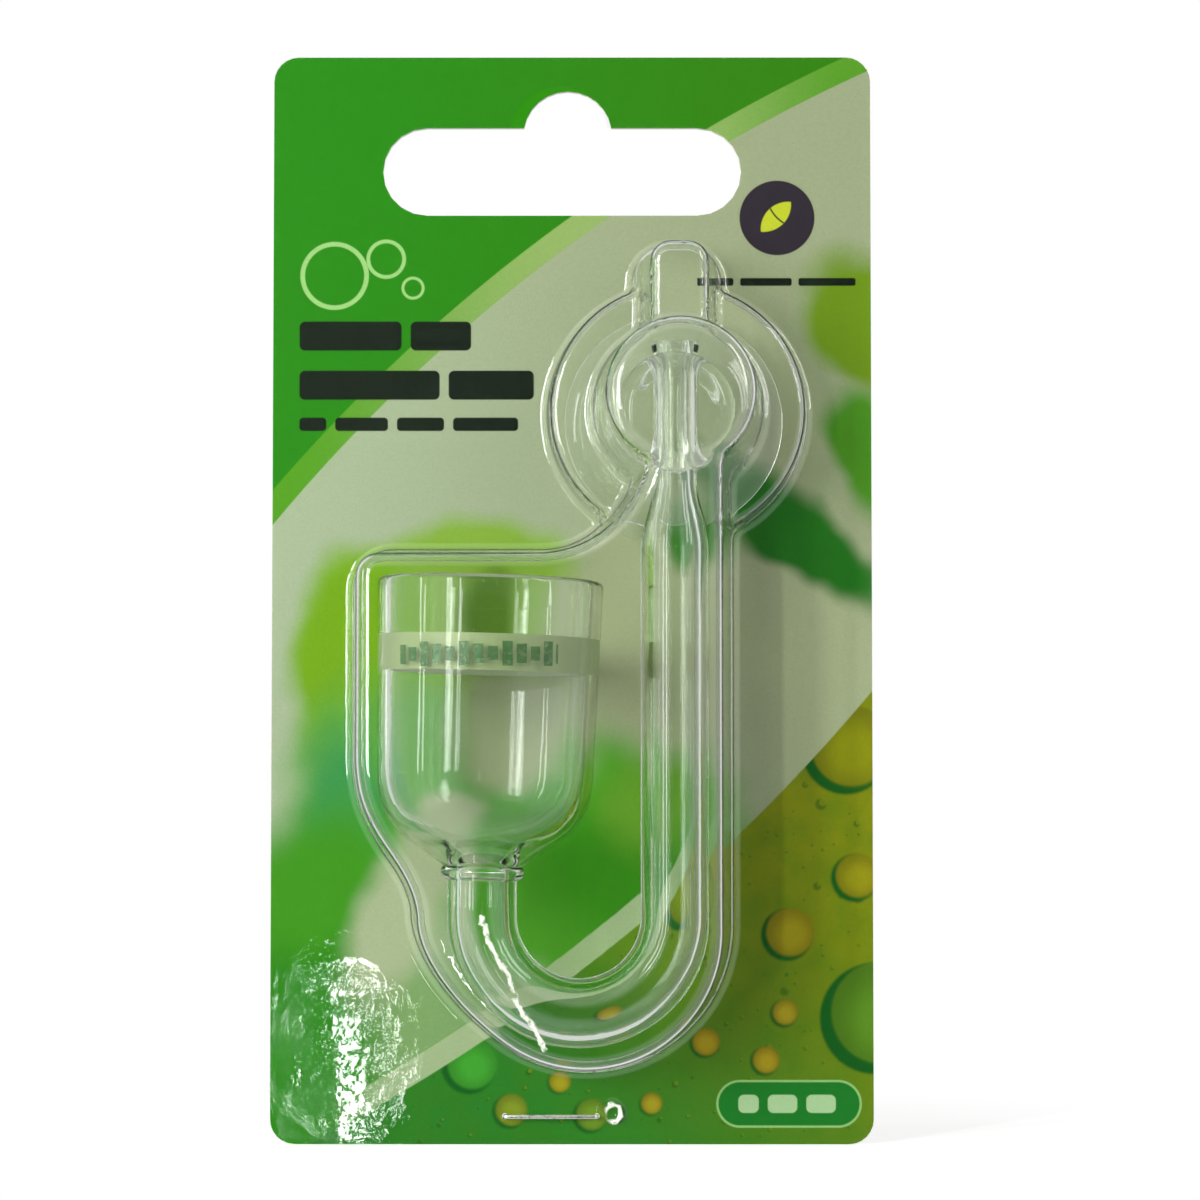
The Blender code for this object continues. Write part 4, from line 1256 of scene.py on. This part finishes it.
def build_floor():
    """A pale floor under the card's lower edge. It meets the backdrop further out and is not reflected."""
    own_tone_ends = 0.03
    backdrop_starts = 0.07
    maker = bmesh.new()
    bmesh.ops.create_circle(maker, cap_ends=True, segments=96, radius=6.0)
    floor = mesh_object("floor", maker)
    floor.location = (0, 0, card_low.z - 0.05 * MM)
    pale = Material("pale_floor")
    tone = pale.noise(pale.place_mm(), 0.01, 3.0)
    pale.set(Base_Color=pale.mix(tone, (0.80, 0.80, 0.79, 1), (0.84, 0.84, 0.83, 1)), Roughness=0.8)
    pale.set(Specular_IOR_Level=0.1, Emission_Color=WHITE, Emission_Strength=FLOOR_LIFT)
    away = pale.vector("LENGTH", pale.add("ShaderNodeTexCoord").outputs["Object"])
    backdrop = pale.add("ShaderNodeEmission", {"Strength": VISIBLE_SKY})
    pale.blend_in(pale.ramp(away, own_tone_ends, backdrop_starts), backdrop.outputs[0])
    path = pale.add("ShaderNodeLightPath").outputs
    bounce = pale.add("ShaderNodeEmission", {"Strength": FLOOR_BOUNCE})
    pale.blend_in(path["Is Diffuse Ray"], bounce.outputs[0])
    pale.blend_in(path["Glossy Depth"], pale.clear())
    floor.data.materials.append(pale.material)


def build_world():
    """White to the eye and through the glass, dimmer for bounced light.

    A first reflection sees a pale studio with a dim room behind the camera. A second one sees only the pale.
    """
    world = bpy.data.worlds.new("studio")
    bpy.context.scene.world = world
    world.use_nodes = True
    sky = Nodes(world.node_tree)
    sky.tree.nodes.clear()
    way = sky.add("ShaderNodeTexCoord").outputs["Generated"]
    forward = sky.add("ShaderNodeSeparateXYZ", {0: way}).outputs["Y"]
    path = sky.add("ShaderNodeLightPath").outputs
    beside_camera = sky.ramp(forward, -0.97, -0.75)
    once = sky.level(beside_camera, DIM_ROOM, PALE_BACKDROP)
    again = sky.math("SUBTRACT", path["Glossy Depth"], 1.0)
    reflected = sky.level(again, once, PALE_BACKDROP)
    seen = sky.level(path["Glossy Depth"], VISIBLE_SKY, reflected)
    strength = sky.level(path["Is Diffuse Ray"], seen, AMBIENT_SKY)
    glow = sky.add("ShaderNodeBackground", {"Color": WHITE, "Strength": strength})
    sky.add("ShaderNodeOutputWorld", {"Surface": glow.outputs[0]})


def add_softbox(name, place, target, width, height, watts):
    light = bpy.data.lights.new(name, "AREA")
    light.shape = "RECTANGLE"
    light.size = width
    light.size_y = height
    light.energy = watts
    box = bpy.data.objects.new(name, light)
    bpy.context.scene.collection.objects.link(box)
    box.location = place
    box.rotation_mode = "QUATERNION"
    box.rotation_quaternion = (Vector(place) - Vector(target)).to_track_quat("Z", "Y")


def build_lights():
    """Two tall strips on the left share the key and draw streaks down the glass, as the side strip does.

    A soft lamp above and one on the right fill in, and a small lamp low on the left makes the glare.
    """
    bell = (BELL_X, AXIS_Y, -10 * MM)
    card = (0, 0, 0)

    def beside(degrees, reach):
        angle = math.radians(degrees)
        return (BELL_X - reach * math.sin(angle), AXIS_Y - reach * math.cos(angle), 0.10)

    add_softbox("window", beside(40, 0.60), bell, 0.056, 0.30, 2.2)
    add_softbox("near_strip", beside(29, 0.66), bell, 0.022, 0.30, 1.8)
    add_softbox("side_strip", beside(73, 0.60), bell, 0.022, 0.30, 0.5)
    add_softbox("top_left", (-0.42, -0.52, 0.60), card, 0.40, 0.40, 0.35)
    add_softbox("right_fill", (0.50, -0.35, 0.30), card, 0.10, 0.40, 1.2)
    glare = (-19.3 * MM, 0, -39.6 * MM)
    add_softbox("glare_strip", (-0.0492, -0.450, -0.0712), glare, 0.0062, 0.032, 0.016)


def build_camera():
    """Nearly square on to the card, about a third of a metre away and a little below its middle."""
    toward = VIEW_MIDDLE - EYE
    data = bpy.data.cameras.new("camera")
    data.sensor_width = 36
    data.lens = data.sensor_width * toward.length / VIEW_WIDTH
    data.clip_start = 0.01
    camera = bpy.data.objects.new("camera", data)
    bpy.context.scene.collection.objects.link(camera)
    camera.location = EYE
    camera.rotation_mode = "QUATERNION"
    camera.rotation_quaternion = toward.to_track_quat("-Z", "Y")
    bpy.context.scene.camera = camera


def set_tones():
    scene = bpy.context.scene
    scene.view_settings.view_transform = "Standard"
    scene.view_settings.look = "None"
    scene.cycles.max_bounces = 24
    scene.cycles.transmission_bounces = 24
    scene.cycles.transparent_max_bounces = 32
    scene.cycles.glossy_bounces = 8


# ---------------- the whole

vinyl = soft_clear_material(
    "clear_vinyl",
    colour=(0.91, 0.94, 0.86, 1),
    roughness=0.03,
    grain=1.2,
    edge_tint=(0.45, 0.48, 0.42, 1),
    clearness=0.97,
)
silicone = soft_clear_material(
    "clear_silicone",
    colour=linear(166, 184, 132),
    roughness=0.35,
    grain=2.5,
    edge_tint=(0.6, 0.62, 0.55, 1),
    clearness=0.25,
)
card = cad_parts["backing_card"]
card.data.materials.clear()
card.data.materials.append(card_material())
build_film(film_material())
build_staple(steel_material())
build_glass(glass_material())
build_disc(ceramic_material())
build_bead(silicone)
build_cup(vinyl)
build_floor()
build_world()
build_lights()
build_camera()
set_tones()
